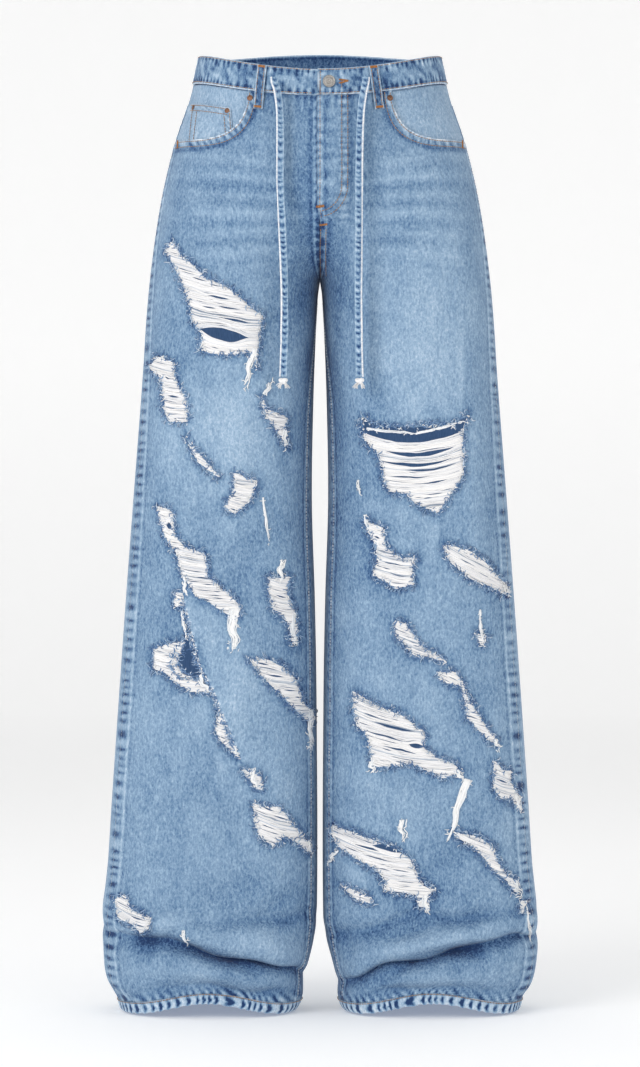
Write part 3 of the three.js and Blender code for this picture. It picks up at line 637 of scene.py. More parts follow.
RIPS = {
    "thigh_right": dict(
        outline=[
            (-172, -223), (-179, -234), (-167, -253), (-150, -296), (-147, -316), (-135, -332), (-136, -351),
            (-117, -355), (-98, -355), (-77, -352), (-73, -372), (-73, -352), (-70, -331), (-67, -311),
            (-84, -299), (-98, -285), (-117, -273), (-133, -267), (-151, -248), (-163, -238),
        ],
        slope=-0.24, sag=(4, 9),
        gaps=[
            (-111, -334, 27, 8), (-140, -268, 10, 1.2), (-118, -290, 14, 1.6), (-105, -304, 16, 1.4),
            (-96, -318, 15, 1.6), (-150, -246, 8, 1.2), (-128, -303, 9, 1.3),
        ],
    ),
    "knee_right": dict(
        outline=[
            (-188, -530), (-171, -536), (-169, -565), (-157, -577), (-134, -585), (-130, -612),
            (-107, -630), (-94, -643), (-94, -658), (-105, -656), (-125, -643), (-143, -634),
            (-158, -612), (-165, -585), (-178, -567),
        ],
        slope=-0.16, sag=(3, 5),
        gaps=[
            (-174, -553, 3.6, 4.5), (-148, -605, 10, 0.7), (-146, -617, 9, 0.8), (-160, -576, 6, 0.8),
            (-120, -637, 8, 1.1),
        ],
    ),
    "inner_shin_right": dict(
        outline=[
            (-83, -706), (-61, -708), (-43, -717), (-28, -734), (-22, -758), (-8, -772), (-7, -780),
            (-15, -778), (-37, -757), (-59, -734), (-76, -716),
        ],
        slope=-0.2, sag=(3, 3),
        gaps=[(-66, -713, 8, 1.4), (-48, -727, 9, 1.0), (-36, -744, 7, 0.9)],
    ),
    "knee_left": dict(
        outline=[
            (49, -428), (67, -440), (104, -439), (156, -437), (171, -425), (164, -445), (164, -495),
            (151, -515), (135, -538), (125, -532), (111, -528), (101, -516), (80, -513), (75, -501),
            (69, -472), (52, -453),
        ],
        slope=0.03, sag=(16, 7), ceiling=-443,
        gaps=[
            (116, -469, 42, 3.4), (128, -466, 26, 1.5), (112, -481, 44, 2.3), (126, -488, 32, 1.8),
            (104, -497, 28, 1.2), (118, -503, 30, 1.0), (132, -516, 14, 0.9), (90, -455, 26, 0.8),
        ],
    ),
    "below_knee_left": dict(
        outline=[
            (54, -547), (72, -555), (74, -577), (95, -591), (110, -589), (106, -602), (107, -621),
            (88, -625), (75, -617), (62, -609), (67, -591), (66, -576), (56, -558),
        ],
        slope=-0.22, sag=(2, 4),
        gaps=[(66, -566, 3.4, 1.8), (84, -597, 12, 1.0), (90, -610, 12, 1.0)],
    ),
    "shin_left": dict(
        outline=[
            (40, -746), (58, -756), (75, -765), (95, -772), (109, -784), (120, -791), (119, -809),
            (133, -820), (155, -829), (162, -838), (143, -844), (124, -835), (106, -827), (78, -831),
            (62, -832), (59, -814), (56, -796), (44, -785), (40, -765),
        ],
        slope=-0.16, sag=(9, 6), ceiling=-752,
        gaps=[
            (111, -807, 9, 3.2), (84, -786, 26, 2.0), (76, -797, 22, 1.4), (92, -812, 22, 1.6),
            (70, -776, 20, 1.2), (96, -822, 16, 0.9),
        ],
    ),
    "ankle_left": dict(
        outline=[
            (15, -902), (58, -915), (88, -927), (105, -939), (111, -957), (119, -969), (134, -974),
            (125, -982), (124, -994), (115, -994), (112, -980), (95, -978), (75, -975), (77, -964),
            (63, -949), (42, -939), (22, -926), (15, -914),
        ],
        slope=-0.2, sag=(6, 4), ceiling=-906,
        gaps=[
            (80, -926, 19, 4.5), (70, -938, 20, 1.5), (92, -952, 16, 1.4), (96, -965, 14, 1.0),
            (54, -926, 16, 1.4),
        ],
    ),
}
SMALL_RIPS = {
    "left": [
        dict(outline=[
            (143, -576), (158, -577), (174, -583), (191, -594), (201, -607), (220, -625), (217, -633),
            (197, -623), (172, -613), (155, -599), (147, -588),
        ], slope=-0.5, sag=(2, 2), gaps=[(170, -594, 10, 1.0), (190, -610, 8, 0.9)]),
        dict(outline=[
            (88, -663), (97, -665), (109, -681), (117, -692), (133, -701), (146, -711), (128, -705),
            (106, -701), (97, -689), (88, -681),
        ], slope=-0.3, sag=(2, 2), gaps=[(142, -710, 4, 1.6)]),
        dict(outline=[
            (137, -723), (155, -722), (166, -736), (168, -747), (179, -765), (191, -785), (208, -806),
            (200, -804), (184, -789), (172, -776), (168, -752), (164, -738), (143, -733),
        ], slope=-0.35, sag=(2, 2), gaps=[(152, -729, 7, 0.9)]),
        dict(outline=[
            (179, -677), (192, -679), (188, -692),
        ], slope=-0.2, sag=(1, 1), gaps=[]),
        dict(outline=[
            (202, -826), (214, -839), (222, -837), (220, -851), (235, -870), (234, -885), (222, -869),
            (211, -870), (202, -857),
        ], slope=-0.3, sag=(2, 2), gaps=[(212, -850, 5, 0.8)]),
        dict(outline=[
            (24, -970), (40, -975), (59, -984), (59, -990), (47, -988), (38, -982),
        ], slope=-0.3, sag=(1, 1), gaps=[]),
        dict(outline=[
            (155, -907), (168, -910), (185, -914), (202, -928), (203, -938), (213, -955), (231, -970),
            (227, -979), (218, -966), (202, -953), (191, -937), (176, -924), (159, -914),
        ], slope=-0.4, sag=(2, 2), gaps=[(188, -925, 9, 1.0)]),
        dict(outline=[
            (233, -990), (242, -991), (234, -1004),
        ], slope=-0.2, sag=(1, 1), gaps=[]),
    ],
    "right": [
        dict(outline=[
            (-199, -368), (-189, -356), (-169, -365), (-169, -378), (-161, -399), (-154, -409),
            (-154, -433), (-173, -432), (-180, -417), (-181, -389), (-187, -379),
        ], slope=-0.25, sag=(2, 3), gaps=[(-177, -381, 3, 2.0), (-166, -430, 3, 1.6), (-170, -404, 6, 0.8)]),
        dict(outline=[
            (-155, -448), (-149, -461), (-138, -472), (-115, -498), (-140, -480),
        ], slope=-0.5, sag=(1, 1), gaps=[]),
        dict(outline=[
            (-68, -402), (-66, -417), (-39, -427), (-43, -441), (-38, -462), (-52, -439), (-60, -429),
        ], slope=-0.2, sag=(1, 1), gaps=[(-54, -424, 5, 0.9)]),
        dict(outline=[
            (-99, -491), (-86, -497), (-73, -501), (-82, -524), (-99, -538), (-109, -532), (-99, -514),
            (-97, -503),
        ], slope=-0.2, sag=(2, 2), gaps=[(-90, -512, 6, 0.7), (-98, -534, 6, 1.0)]),
        dict(outline=[
            (-167, -630), (-157, -630), (-159, -645), (-167, -646),
        ], slope=-0.2, sag=(1, 1), gaps=[]),
        dict(outline=[
            (-192, -697), (-176, -690), (-158, -687), (-163, -700), (-168, -712), (-160, -724),
            (-147, -729), (-125, -743), (-147, -745), (-165, -736), (-176, -724), (-192, -719),
        ], slope=-0.1, sag=(3, 3), gaps=[(-176, -714, 6, 0.8)]),
        dict(outline=[
            (-164, -693), (-151, -682), (-145, -687), (-141, -704), (-136, -724), (-147, -729),
            (-163, -725), (-172, -712),
        ], bare=True),
        dict(outline=[
            (-116, -769), (-112, -781), (-105, -803), (-95, -820), (-116, -800), (-120, -787),
        ], slope=-0.3, sag=(1, 1), gaps=[]),
        dict(outline=[
            (-90, -835), (-68, -843), (-68, -859), (-76, -854),
        ], slope=-0.3, sag=(1, 1), gaps=[]),
        dict(outline=[
            (-76, -874), (-64, -879), (-48, -879), (-33, -899), (-11, -926), (-11, -936), (-28, -920),
            (-41, -912), (-55, -923), (-69, -913), (-74, -898),
        ], slope=-0.3, sag=(3, 3), gaps=[(-58, -902, 8, 0.9), (-46, -892, 9, 0.9)]),
        dict(outline=[
            (-59, -612), (-47, -614), (-36, -612), (-39, -632), (-29, -657), (-27, -690), (-31, -690),
            (-35, -666), (-54, -648), (-57, -636),
        ], slope=-0.2, sag=(2, 2), gaps=[(-46, -634, 7, 0.9), (-42, -648, 6, 0.8)]),
        dict(outline=[
            (-240, -987), (-226, -984), (-220, -998), (-196, -1007), (-197, -1017), (-208, -1024),
            (-217, -1015), (-234, -1009),
        ], slope=-0.3, sag=(2, 3), gaps=[(-214, -1008, 8, 0.9)]),
    ],
}

# Bundles of loose white thread that hang over the cloth: from (x, z) to (x, z), width and count.
TAILS = {
    "right": [
        (-76, -348, -86, -393, 6, 15), (-100, -648, -99, -696, 11, 30), (-12, -768, -11, -816, 6, 16),
        (-44, -592, -46, -618, 8, 14), (-66, -520, -58, -580, 1.5, 5), (-32, -655, -29, -692, 5, 10),
        (-158, -612, -152, -642, 4, 8), (-40, -440, -40, -462, 4, 8), (-64, -402, -56, -386, 4, 7),
        (-140, -726, -128, -744, 6, 10), (-160, -650, -155, -682, 2, 6), (-98, -806, -94, -822, 4, 6),
        (-80, -834, -72, -858, 6, 9), (-158, -1020, -153, -1040, 3, 5), (-14, -920, -10, -940, 4, 6),
    ],
    "left": [
        (54, -441, 110, -447, 1.5, 5), (110, -447, 168, -432, 1.5, 5), (171, -846, 150, -916, 7, 22),
        (94, -893, 97, -916, 7, 12), (22, -930, 9, -948, 4, 8),
        (44, -500, 47, -516, 2, 4), (120, -980, 124, -1000, 7, 10), (203, -800, 208, -812, 5, 8),
        (184, -650, 189, -690, 3, 7), (226, -964, 236, -984, 6, 9), (240, -996, 246, -1040, 1.5, 5),
        (60, -824, 63, -838, 8, 9), (52, -540, 57, -560, 4, 6), (214, -622, 221, -634, 5, 6),
        (228, -866, 235, -890, 5, 8), (158, -836, 166, -846, 6, 8),
    ],
}


def noisy_edge(x, z):
    """How far a torn edge wanders from its outline."""
    return 1.5 * (value_noise(x / 4.2, z / 4.2, 11) - 0.5) + 2.2 * (value_noise(x / 11, z / 11, 12) - 0.5)


# A torn edge that runs down the wearer's right shin: the cloth inside it lies over the cloth outside.
TORN_EDGE = [(-157, -640), (-141, -709), (-123, -745), (-107, -786), (-94, -817)]


def edge_distance(x, z, line):
    """The distance from an open line of (x, z) points, positive on the side of +x."""
    line = np.array(line, float)
    (ax, az), (bx, bz) = line[:-1].T, line[1:].T
    run, rise = bx - ax, bz - az
    px, pz = x[:, None] - ax, z[:, None] - az
    t = np.clip((px * run + pz * rise) / (run**2 + rise**2), 0, 1)
    distances = np.hypot(px - t * run, pz - t * rise)
    nearest = distances.argmin(1)
    rows = np.arange(len(x))
    turn = run[nearest] * pz[rows, nearest] - rise[nearest] * px[rows, nearest]
    return distances[rows, nearest] * np.sign(turn)


def rips_of(side):
    """Every rip of a leg, large and small."""
    large = [rip for name, rip in RIPS.items() if name.endswith(side)]
    return large + SMALL_RIPS[side]


def rip_distance(side, x, z):
    """The distance into the nearest rip, positive inside, with torn edges."""
    best = np.full(x.shape, -60.0)
    for rip in rips_of(side):
        outline = np.array(rip["outline"], float)
        low, high = outline.min(0) - 30, outline.max(0) + 30
        near = (x > low[0]) & (x < high[0]) & (z > low[1]) & (z < high[1])
        if near.any():
            best[near] = np.maximum(best[near], inside_distance(x[near], z[near], outline))
    return best + noisy_edge(x, z)


# ---- Wash and painted shading: how pale the cloth is, from 0 to 1 ----

# Pale and dark areas of the fronts: middle (x, z), reach (x, z) and amount. The dark ones on the centre line are
# painted shade in the crotch and between the legs.
FRONT_WASH = [
    (-112, -300, 70, 130, 0.10), (124, -310, 62, 120, 0.26), (-122, -455, 62, 80, 0.24),
    (118, -400, 60, 60, 0.12), (120, -580, 60, 70, 0.10), (-130, -640, 60, 90, 0.06),
    (0, -300, 34, 150, -0.16), (0, -520, 30, 240, -0.10), (0, -200, 60, 60, -0.06),
    (-130, -1075, 130, 45, -0.08), (130, -1075, 130, 45, -0.08), (-60, -980, 60, 60, -0.05),
    (60, -1000, 70, 60, -0.05), (-110, -820, 70, 90, 0.04), (120, -740, 80, 90, 0.05),
    (-120, -110, 50, 26, 0.03), (110, -130, 50, 40, 0.05),
]
# The same behind: the dark one on the centre line is painted shade between the legs.
BACK_WASH = [
    (-96, -190, 60, 60, 0.14), (96, -190, 60, 60, 0.14), (-110, -420, 60, 150, 0.10), (110, -420, 60, 150, 0.10),
    (0, -300, 34, 120, -0.14), (-120, -600, 60, 60, 0.08), (120, -600, 60, 60, 0.08),
    (-130, -1070, 130, 50, -0.14), (130, -1070, 130, 50, -0.14),
]
# Whiskers: pale and dark streaks fanning over the hips, as creases are given.
WHISKERS = [
    (sign * (22 if sign < 0 else 38), level, sign * 165, level + 22 - 0.14 * index * 22, 3.2, amount)
    for sign in (-1, 1)
    for index, (level, amount) in enumerate([
        (-142, 0.07), (-151, -0.07), (-160, 0.08), (-168, -0.07), (-177, 0.09), (-186, -0.08), (-195, 0.09),
        (-205, -0.08), (-214, 0.09), (-224, -0.07), (-234, 0.07), (-245, -0.05),
    ])
]


def wash_of(x, z, behind=False):
    """How pale the cloth is, with painted shading: a middle tone, paler down the legs, with soft pale and dark
    areas, a painted highlight on ridges and painted shade in creases."""
    wash = 0.50 + 0.07 * smooth_step((-500 - z) / 300)
    for cx, cz, rx, rz, amount in BACK_WASH if behind else FRONT_WASH:
        wash = wash + amount * bump(np.hypot((x - cx) / rx, (z - cz) / rz))
    # Painted shading from the creases' height: paler on ridges, darker in creases.
    wash = wash + 0.036 * crease_height(x, z, BACK_CREASES if behind else FRONT_CREASES)
    if not behind:
        wash = wash + crease_height(x, z, WHISKERS)
        # A facing behind the thigh has rubbed a straight pale edge into the cloth.
        out = x - 166
        edge = smooth_step(-out / 3) * smooth_step((x - 150) / 22)
        edge = edge - 0.8 * smooth_step(out / 2) * bump(out / 16)
        wash = wash + 0.16 * edge * smooth_step((z + 436) / 20) * smooth_step((-290 - z) / 60)
        # A shorter one crosses the knee.
        out = x - 138
        edge = smooth_step(-out / 3) * bump(out / 16) - 0.8 * smooth_step(out / 2) * bump(out / 12)
        wash = wash + 0.13 * edge * bump((z + 563) / 26)
    wash = wash + 0.10 * (value_noise(x / 34, z / 60, 21) - 0.5)
    return wash + 0.08 * (value_noise(x / 13, z / 30, 22) - 0.5)


def puckers(along, away, period, reach, seed, slant=0.0):
    """Light and dark bars across a seam: a wave along it whose phase wanders, fading away from it."""
    wander = 1.6 * value_noise(along / (2.6 * period), 0.3, seed)
    wave = np.sin(TAU * (along / period + wander + slant * away / period))
    strength = 0.45 + 0.85 * value_noise(along / period, 7.7, seed + 1)
    return wave * strength * bump(away / reach)


# ---- Materials ----


def linear(hex_colour):
    """An sRGB hex colour as linear red, green and blue."""
    parts = [int(hex_colour[k : k + 2], 16) / 255 for k in (1, 3, 5)]
    return tuple(c / 12.92 if c <= 0.04045 else ((c + 0.055) / 1.055) ** 2.4 for c in parts)


def add_node(tree, kind, inputs=None, **settings):
    """A node with its settings, and its inputs linked to sockets or set to values."""
    node = tree.nodes.new(kind)
    for key, value in settings.items():
        setattr(node, key, value)
    for key, value in (inputs or {}).items():
        if isinstance(value, bpy.types.NodeSocket):
            tree.links.new(value, node.inputs[key])
        else:
            node.inputs[key].default_value = value
    return node


def ramp_colours(node, stops):
    """Puts (place, hex colour) stops into a Color Ramp node."""
    elements = node.color_ramp.elements
    while len(elements) < len(stops):
        elements.new(0.5)
    for element, (place, colour) in zip(elements, stops):
        element.position = place
        element.color = (*linear(colour), 1)


def new_material(name):
    """A material with an empty node tree."""
    material = bpy.data.materials.new(name)
    material.use_nodes = True
    material.node_tree.nodes.clear()
    return material, material.node_tree


def finish_material(tree, shader_inputs):
    """Ends a material's tree in one Principled shader."""
    shader = add_node(tree, "ShaderNodeBsdfPrincipled", shader_inputs)
    add_node(tree, "ShaderNodeOutputMaterial", {"Surface": shader.outputs["BSDF"]})


def scaled(tree, socket, factor, offset=0.0):
    """A socket times a factor, plus an offset."""
    return add_node(
        tree, "ShaderNodeMath", {0: socket, 1: factor, 2: offset}, operation="MULTIPLY_ADD"
    ).outputs[0]


def total(tree, sockets):
    """The sum of several sockets."""
    sum_so_far = sockets[0]
    for socket in sockets[1:]:
        sum_so_far = add_node(tree, "ShaderNodeMath", {0: sum_so_far, 1: socket}, operation="ADD").outputs[0]
    return sum_so_far


def pattern(tree, size_mm, stretch=(1, 1, 1), tilt=0.0, detail=2.0, roughness=0.5):
    """Noise whose grains are about size_mm across, stretched and tilted in the front plane."""
    place = add_node(tree, "ShaderNodeTexCoord").outputs["Object"]
    mapping = add_node(
        tree, "ShaderNodeMapping",
        {"Vector": place, "Rotation": (0, tilt, 0), "Scale": tuple(1 / s for s in stretch)},
    )
    noise = add_node(
        tree, "ShaderNodeTexNoise",
        {"Vector": mapping.outputs[0], "Scale": 1 / (size_mm * MM), "Detail": detail, "Roughness": roughness},
    )
    return noise.outputs["Fac"]


# The tone is squeezed to two thirds before the ramp, so that rubbed seams go on to near white.
TONE_SQUEEZE = 0.66
INDIGO_RAMP = [
    (0.0, "#213a63"), (0.13, "#43638a"), (0.26, "#62809f"), (0.36, "#7692ae"), (0.52, "#90a9c1"),
    (0.68, "#aabed1"), (1.0, "#dfe6ec"),
]


def washed_denim(name, lighten=0.0, raw=False):
    """Stonewashed cotton denim, 3/1 twill: white weft shows through faded indigo warp, so the eye
    gets fine pale and dark flecks, long thin streaks down the warp and soft worn areas."""
    material, tree = new_material(name)
    wash = add_node(tree, "ShaderNodeAttribute", attribute_name="wash").outputs["Fac"]
    rub = add_node(tree, "ShaderNodeAttribute", attribute_name="rub").outputs["Fac"]
    # Real twill lines lie 0.6 mm apart. The flecks are drawn at 2.4 mm, so that they show.
    fleck = pattern(tree, 2.4, stretch=(1, 1, 1.5), tilt=0.5, detail=3.0, roughness=0.7)
    streak = pattern(tree, 1.6, stretch=(1, 1, 6), tilt=0.16, detail=2.0)
    slub = pattern(tree, 2.4, stretch=(1, 1, 3.2), tilt=-0.7, detail=2.0)
    mottle = pattern(tree, 24, stretch=(1, 1, 2.0), detail=4.0)
    crinkle = pattern(tree, 5, stretch=(1, 1, 1.5), tilt=0.5, detail=2.0)
    # Fine pale lines that wander over the cloth, where its crinkles have rubbed.
    centred = add_node(tree, "ShaderNodeMath", {0: crinkle, 1: 0.5}, operation="SUBTRACT").outputs[0]
    spread = add_node(tree, "ShaderNodeMath", {0: centred}, operation="ABSOLUTE").outputs[0]
    ridge = add_node(
        tree, "ShaderNodeMath", {0: spread, 1: -16.0, 2: 1.0}, operation="MULTIPLY_ADD", use_clamp=True
    ).outputs[0]
    # The wash and rub attributes bring in painted shade and highlights as well as the wear.
    tone = total(tree, [
        wash,
        scaled(tree, rub, 0.32),
        scaled(tree, fleck, 0.90, -0.45 + lighten),
        scaled(tree, streak, 0.28, -0.14),
        scaled(tree, slub, 0.42, -0.21),
        scaled(tree, mottle, 0.34, -0.17),
        scaled(tree, ridge, 0.17, -0.045),
    ])
    tone = scaled(tree, tone, TONE_SQUEEZE)
    ramp = add_node(tree, "ShaderNodeValToRGB", {"Fac": tone})
    ramp_colours(ramp, INDIGO_RAMP)
    colour = ramp.outputs["Color"]
    if raw:
        edge = add_node(tree, "ShaderNodeAttribute", attribute_name="raw").outputs["Fac"]
        white = add_node(tree, "ShaderNodeValToRGB", {"Fac": pattern(tree, 1.6)})
        ramp_colours(white, [(0.3, "#b9c6d6"), (0.6, "#f0eeec")])
        colour = add_node(
            tree, "ShaderNodeMix", {"Factor": edge, 6: colour, 7: white.outputs["Color"]}, data_type="RGBA"
        ).outputs[2]
    fine = add_node(tree, "ShaderNodeBump", {"Height": fleck, "Strength": 0.5, "Distance": 0.0010})
    coarse = add_node(
        tree, "ShaderNodeBump",
        {"Height": crinkle, "Strength": 0.5, "Distance": 0.0030, "Normal": fine.outputs["Normal"]},
    )
    rough = scaled(tree, fleck, 0.12, 0.82)
    finish_material(tree, {
        "Base Color": colour, "Roughness": rough, "Normal": coarse.outputs["Normal"],
        "Specular IOR Level": 0.18, "Sheen Weight": 0.12, "Sheen Roughness": 0.5,
    })
    return material


def inner_denim():
    """The twill's wrong side, where the white weft lies over the indigo: a greyed blue with fine
    streaks, which the garment's own shade turns navy."""
    material, tree = new_material("denim_wrong_side_painted_glow")
    streak = pattern(tree, 1.6, stretch=(1, 1, 5), tilt=0.1)
    # A painted glow stands in for the light inside the legs, so that the inside is navy and never black.
    cloud = pattern(tree, 18, detail=3.0)
    tone = total(tree, [scaled(tree, streak, 0.7), scaled(tree, cloud, 0.5, -0.1)])
    ramp = add_node(tree, "ShaderNodeValToRGB", {"Fac": tone})
    ramp_colours(ramp, [(0.25, "#566f8d"), (0.6, "#768da9"), (0.9, "#9cb0c6")])
    bumps = add_node(tree, "ShaderNodeBump", {"Height": streak, "Strength": 0.3, "Distance": 0.0006})
    finish_material(tree, {
        "Base Color": ramp.outputs["Color"], "Roughness": 0.93, "Normal": bumps.outputs["Normal"],
        "Specular IOR Level": 0.15, "Emission Color": (*linear("#4a6382"), 1), "Emission Strength": 0.52,
    })
    return material


def yarn(name, stops):
    """Loose cotton yarn, matt and fuzzy: each thread has its own shade, with soft specks."""
    material, tree = new_material(name)
    shade = add_node(tree, "ShaderNodeAttribute", attribute_name="shade").outputs["Fac"]
    speck = pattern(tree, 2.0)
    tone = total(tree, [shade, scaled(tree, speck, 0.16, -0.08)])
    ramp = add_node(tree, "ShaderNodeValToRGB", {"Fac": tone})
    ramp_colours(ramp, stops)
    bumps = add_node(tree, "ShaderNodeBump", {"Height": speck, "Strength": 0.3, "Distance": 0.0004})
    finish_material(tree, {
        "Base Color": ramp.outputs["Color"], "Roughness": 0.95, "Normal": bumps.outputs["Normal"],
        "Specular IOR Level": 0.12, "Sheen Weight": 0.25, "Sheen Roughness": 0.6,
    })
    return material


def metal(name, light, dark, roughness, grain_mm):
    """Plated or aged metal: a plain colour that darkens in the wear, brushed fine."""
    material, tree = new_material(name)
    wear = pattern(tree, grain_mm, detail=4.0)
    ramp = add_node(tree, "ShaderNodeValToRGB", {"Fac": wear})
    ramp_colours(ramp, [(0.35, dark), (0.62, light)])
    bumps = add_node(tree, "ShaderNodeBump", {"Height": wear, "Strength": 0.2, "Distance": 0.0002})
    finish_material(tree, {
        "Base Color": ramp.outputs["Color"], "Metallic": 1.0, "Normal": bumps.outputs["Normal"],
        "Roughness": scaled(tree, wear, 0.25, roughness),
    })
    return material


def plain_paper():
    """Seamless matt backdrop paper, nearly white."""
    material, tree = new_material("backdrop_paper")
    grain = pattern(tree, 4.0)
    ramp = add_node(tree, "ShaderNodeValToRGB", {"Fac": grain})
    ramp_colours(ramp, [(0.3, "#f6f6f5"), (0.7, "#fafafa")])
    finish_material(tree, {
        "Base Color": ramp.outputs["Color"], "Roughness": 1.0, "Specular IOR Level": 0.0,
        "Emission Color": (1, 1, 1, 1), "Emission Strength": 0.2,
    })
    return material


MATERIALS = {}


def material(name):
    """Each material, made once."""
    makers = {
        "denim": lambda: washed_denim("stonewashed_denim"),
        "facing": lambda: washed_denim("stonewashed_denim_facing", lighten=0.22),
        "tape": lambda: washed_denim("drawstring_denim", lighten=0.02, raw=True),
        "inside": inner_denim,
        # The waistband's inside: a darker copy of the denim.
        "lining": lambda: washed_denim("darker_denim", lighten=-0.24),
        "thread": lambda: yarn(
            "undyed_cotton_weft", [(0.0, "#76869b"), (0.3, "#b4bdc9"), (0.6, "#e2e2e4"), (1.0, "#f1efed")]
        ),
        "fringe": lambda: yarn(
            "frayed_indigo_and_white_yarn",
            [(0.0, "#365a8b"), (0.3, "#5579a5"), (0.54, "#97b1cd"), (0.68, "#dfe4e9"), (1.0, "#f5f4f2")],
        ),
        "stitch": lambda: yarn(
            "tan_topstitching_thread", [(0.0, "#523a2c"), (0.4, "#7b5941"), (0.75, "#9b7555"), (1.0, "#b8946e")]
        ),
        "pale_stitch": lambda: yarn(
            "faded_seam_thread", [(0.0, "#57697f"), (0.4, "#7f90a5"), (0.75, "#a9b5c3"), (1.0, "#ccd3db")]
        ),
        "orange_stitch": lambda: yarn(
            "copper_topstitching_thread", [(0.0, "#6e4424"), (0.5, "#a0632f"), (1.0, "#bf8347")]
        ),
        "nickel": lambda: metal("brushed_nickel", "#b5b2ae", "#85827e", 0.40, 0.8),
        "copper": lambda: metal("aged_copper", "#9a7763", "#57392b", 0.40, 0.7),
        "paper": plain_paper,
    }
    if name not in MATERIALS:
        MATERIALS[name] = makers[name]()
    return MATERIALS[name]


# ---- Panels ----


# Rows and columns of each grid of points.
FRONT_GRID = (400, 92)
BACK_GRID = (250, 64)
PATCH_GRID = (520, 100)
YOKE_GRID = (26, 76)
# How much closer a panel's columns are at its two seams, and the level its rows start from behind.
CROWDING = 0.35
BACK_START = -62.0


def panel_grid(grid, behind=False):
    """Angles and levels over a front or back panel. A back panel's rows start along the slanted
    yoke seam and are level again further down."""
    rows, columns = grid
    t = np.linspace(0, 1, columns)[None, :]
    t = t - CROWDING * np.sin(TAU * t) / TAU
    level = np.linspace(BACK_START if behind else SEAM_LEVEL, PANEL_BOTTOM, rows)[:, None]
    if behind:
        settled = np.clip((BACK_START - level) / (BACK_START - YOKE_SETTLED), 0, 1)
        level = level + (yoke_seam(t) - SEAM_GAP - BACK_START) * (1 - settled)
    else:
        level = level + 0 * t
    gap = SEAM_GAP / (OUTER(level) - INNER(level))
    if behind:
        theta = mix(TAU + SIDE_SEAM(level) - gap, INSEAM(level) + gap, t)
    else:
        theta = mix(SIDE_SEAM(level) + gap, INSEAM(level) - gap, t)
    return theta, level


def yoke_seam(t):
    """The level of the slanted seam under a yoke, from the side (0) to the centre back (1)."""
    return SEAM_LEVEL - mix(YOKE_SIDE, YOKE_CENTRE, t)


def put_shell(name, node, point, normal, faces, finishes, wash, rub, thickness=CLOTH):
    """A wall of cloth as one object, with the finishes of its outside, inside and edge, and the same wash, rub
    and painted shading on both of its faces."""
    points, groups, slots = wall(point.reshape(-1, 3), normal.reshape(-1, 3), faces, thickness)
    values = {"wash": np.tile(wash.ravel(), 2), "rub": np.tile(rub.ravel(), 2)}
    if finishes[2] == "thread":
        values["shade"] = np.full(len(points), 0.75)
    return put_mesh(
        name, points, groups, [material(finish) for finish in finishes], slots, values,
        stands_for=[node],
    )


# The spacing of the dark ovals over a side seam, how far they reach from it, and the widths of the
# felled seams there and at the inseam.
OVAL_PERIOD = 11.6
OVAL_REACH = 12.0
SIDE_FELL = 19
INSEAM_FELL = 8


def seam_rub_and_shading(point, seed, side_seed, shift):
    """Rub and painted shade along a panel's side seam and inseam, and how far a felled seam stands up there. The
    distance from each is the length along the panel's rows."""
    steps = np.linalg.norm(np.diff(point, axis=1), axis=2)
    from_side = np.concatenate([np.zeros((len(point), 1)), np.cumsum(steps, 1)], 1)
    from_inner = from_side[:, -1:] - from_side
    down = -point[..., 2]
    # The side seam's ovals lie across it, so both panels have the same ones.
    ovals = puckers(down, np.abs(from_side - shift), OVAL_PERIOD, OVAL_REACH, side_seed)
    rub = 0.5 * ovals - 1.7 * np.clip(-ovals, 0, None) + 0.25 * bump(from_side / 12)
    # A pale line where the felled seam's edge shows through, rubbed and with a painted highlight, and a broken
    # dark one beyond it, painted shade beside that edge.
    broken = 0.55 + 0.45 * np.sin(down)
    rub = rub + 1.1 * bump((from_side - 17) / 1.9) - 0.9 * bump((from_side - 22) / 1.7) * broken
    rub = rub + 1.0 * puckers(down, np.abs(from_inner - 3), 11.0, 4.0, seed + 3, slant=-0.4)
    rub = rub + 1.1 * bump((from_inner - 6.8) / 1.6) - 0.6 * bump((from_inner - 10) / 2.6)
    # The last term, a wide dark band along the inseam, is painted shade on the inner side of the leg.
    rub = rub - 0.5 * bump((from_inner - 3) / 2.2) - 0.35 * bump(from_inner / 20)
    stand = 0.55 * smooth_step((SIDE_FELL - from_side) / 2.5) + 0.35 * ovals
    return rub, stand + 0.4 * smooth_step((INSEAM_FELL - from_inner) / 2.5)


def mouth_effects(side, x, z):
    """The distance outside a pocket's mouth, and the rub and height of its folded edge."""
    away = -inside_distance(x, z, on_side(side, pocket_mouth(0)))
    rub = 1.3 * puckers(x + 0.6 * z, np.abs(away - 5), 9.0, 4.0, 41) + 3.2 * bump((away - 0.7) / 1.3)
    rub = rub - 1.1 * bump((away - 11.5) / 2.6)
    return away, np.where(away < 30, rub, 0), 0.5 * smooth_step((10.5 - away) / 2.0)


def band_edge(x):
    """The height of the waistband's lower edge across the front."""
    return SEAM_LEVEL + FRONT_DIP * (1 - (x / 150) ** 2)


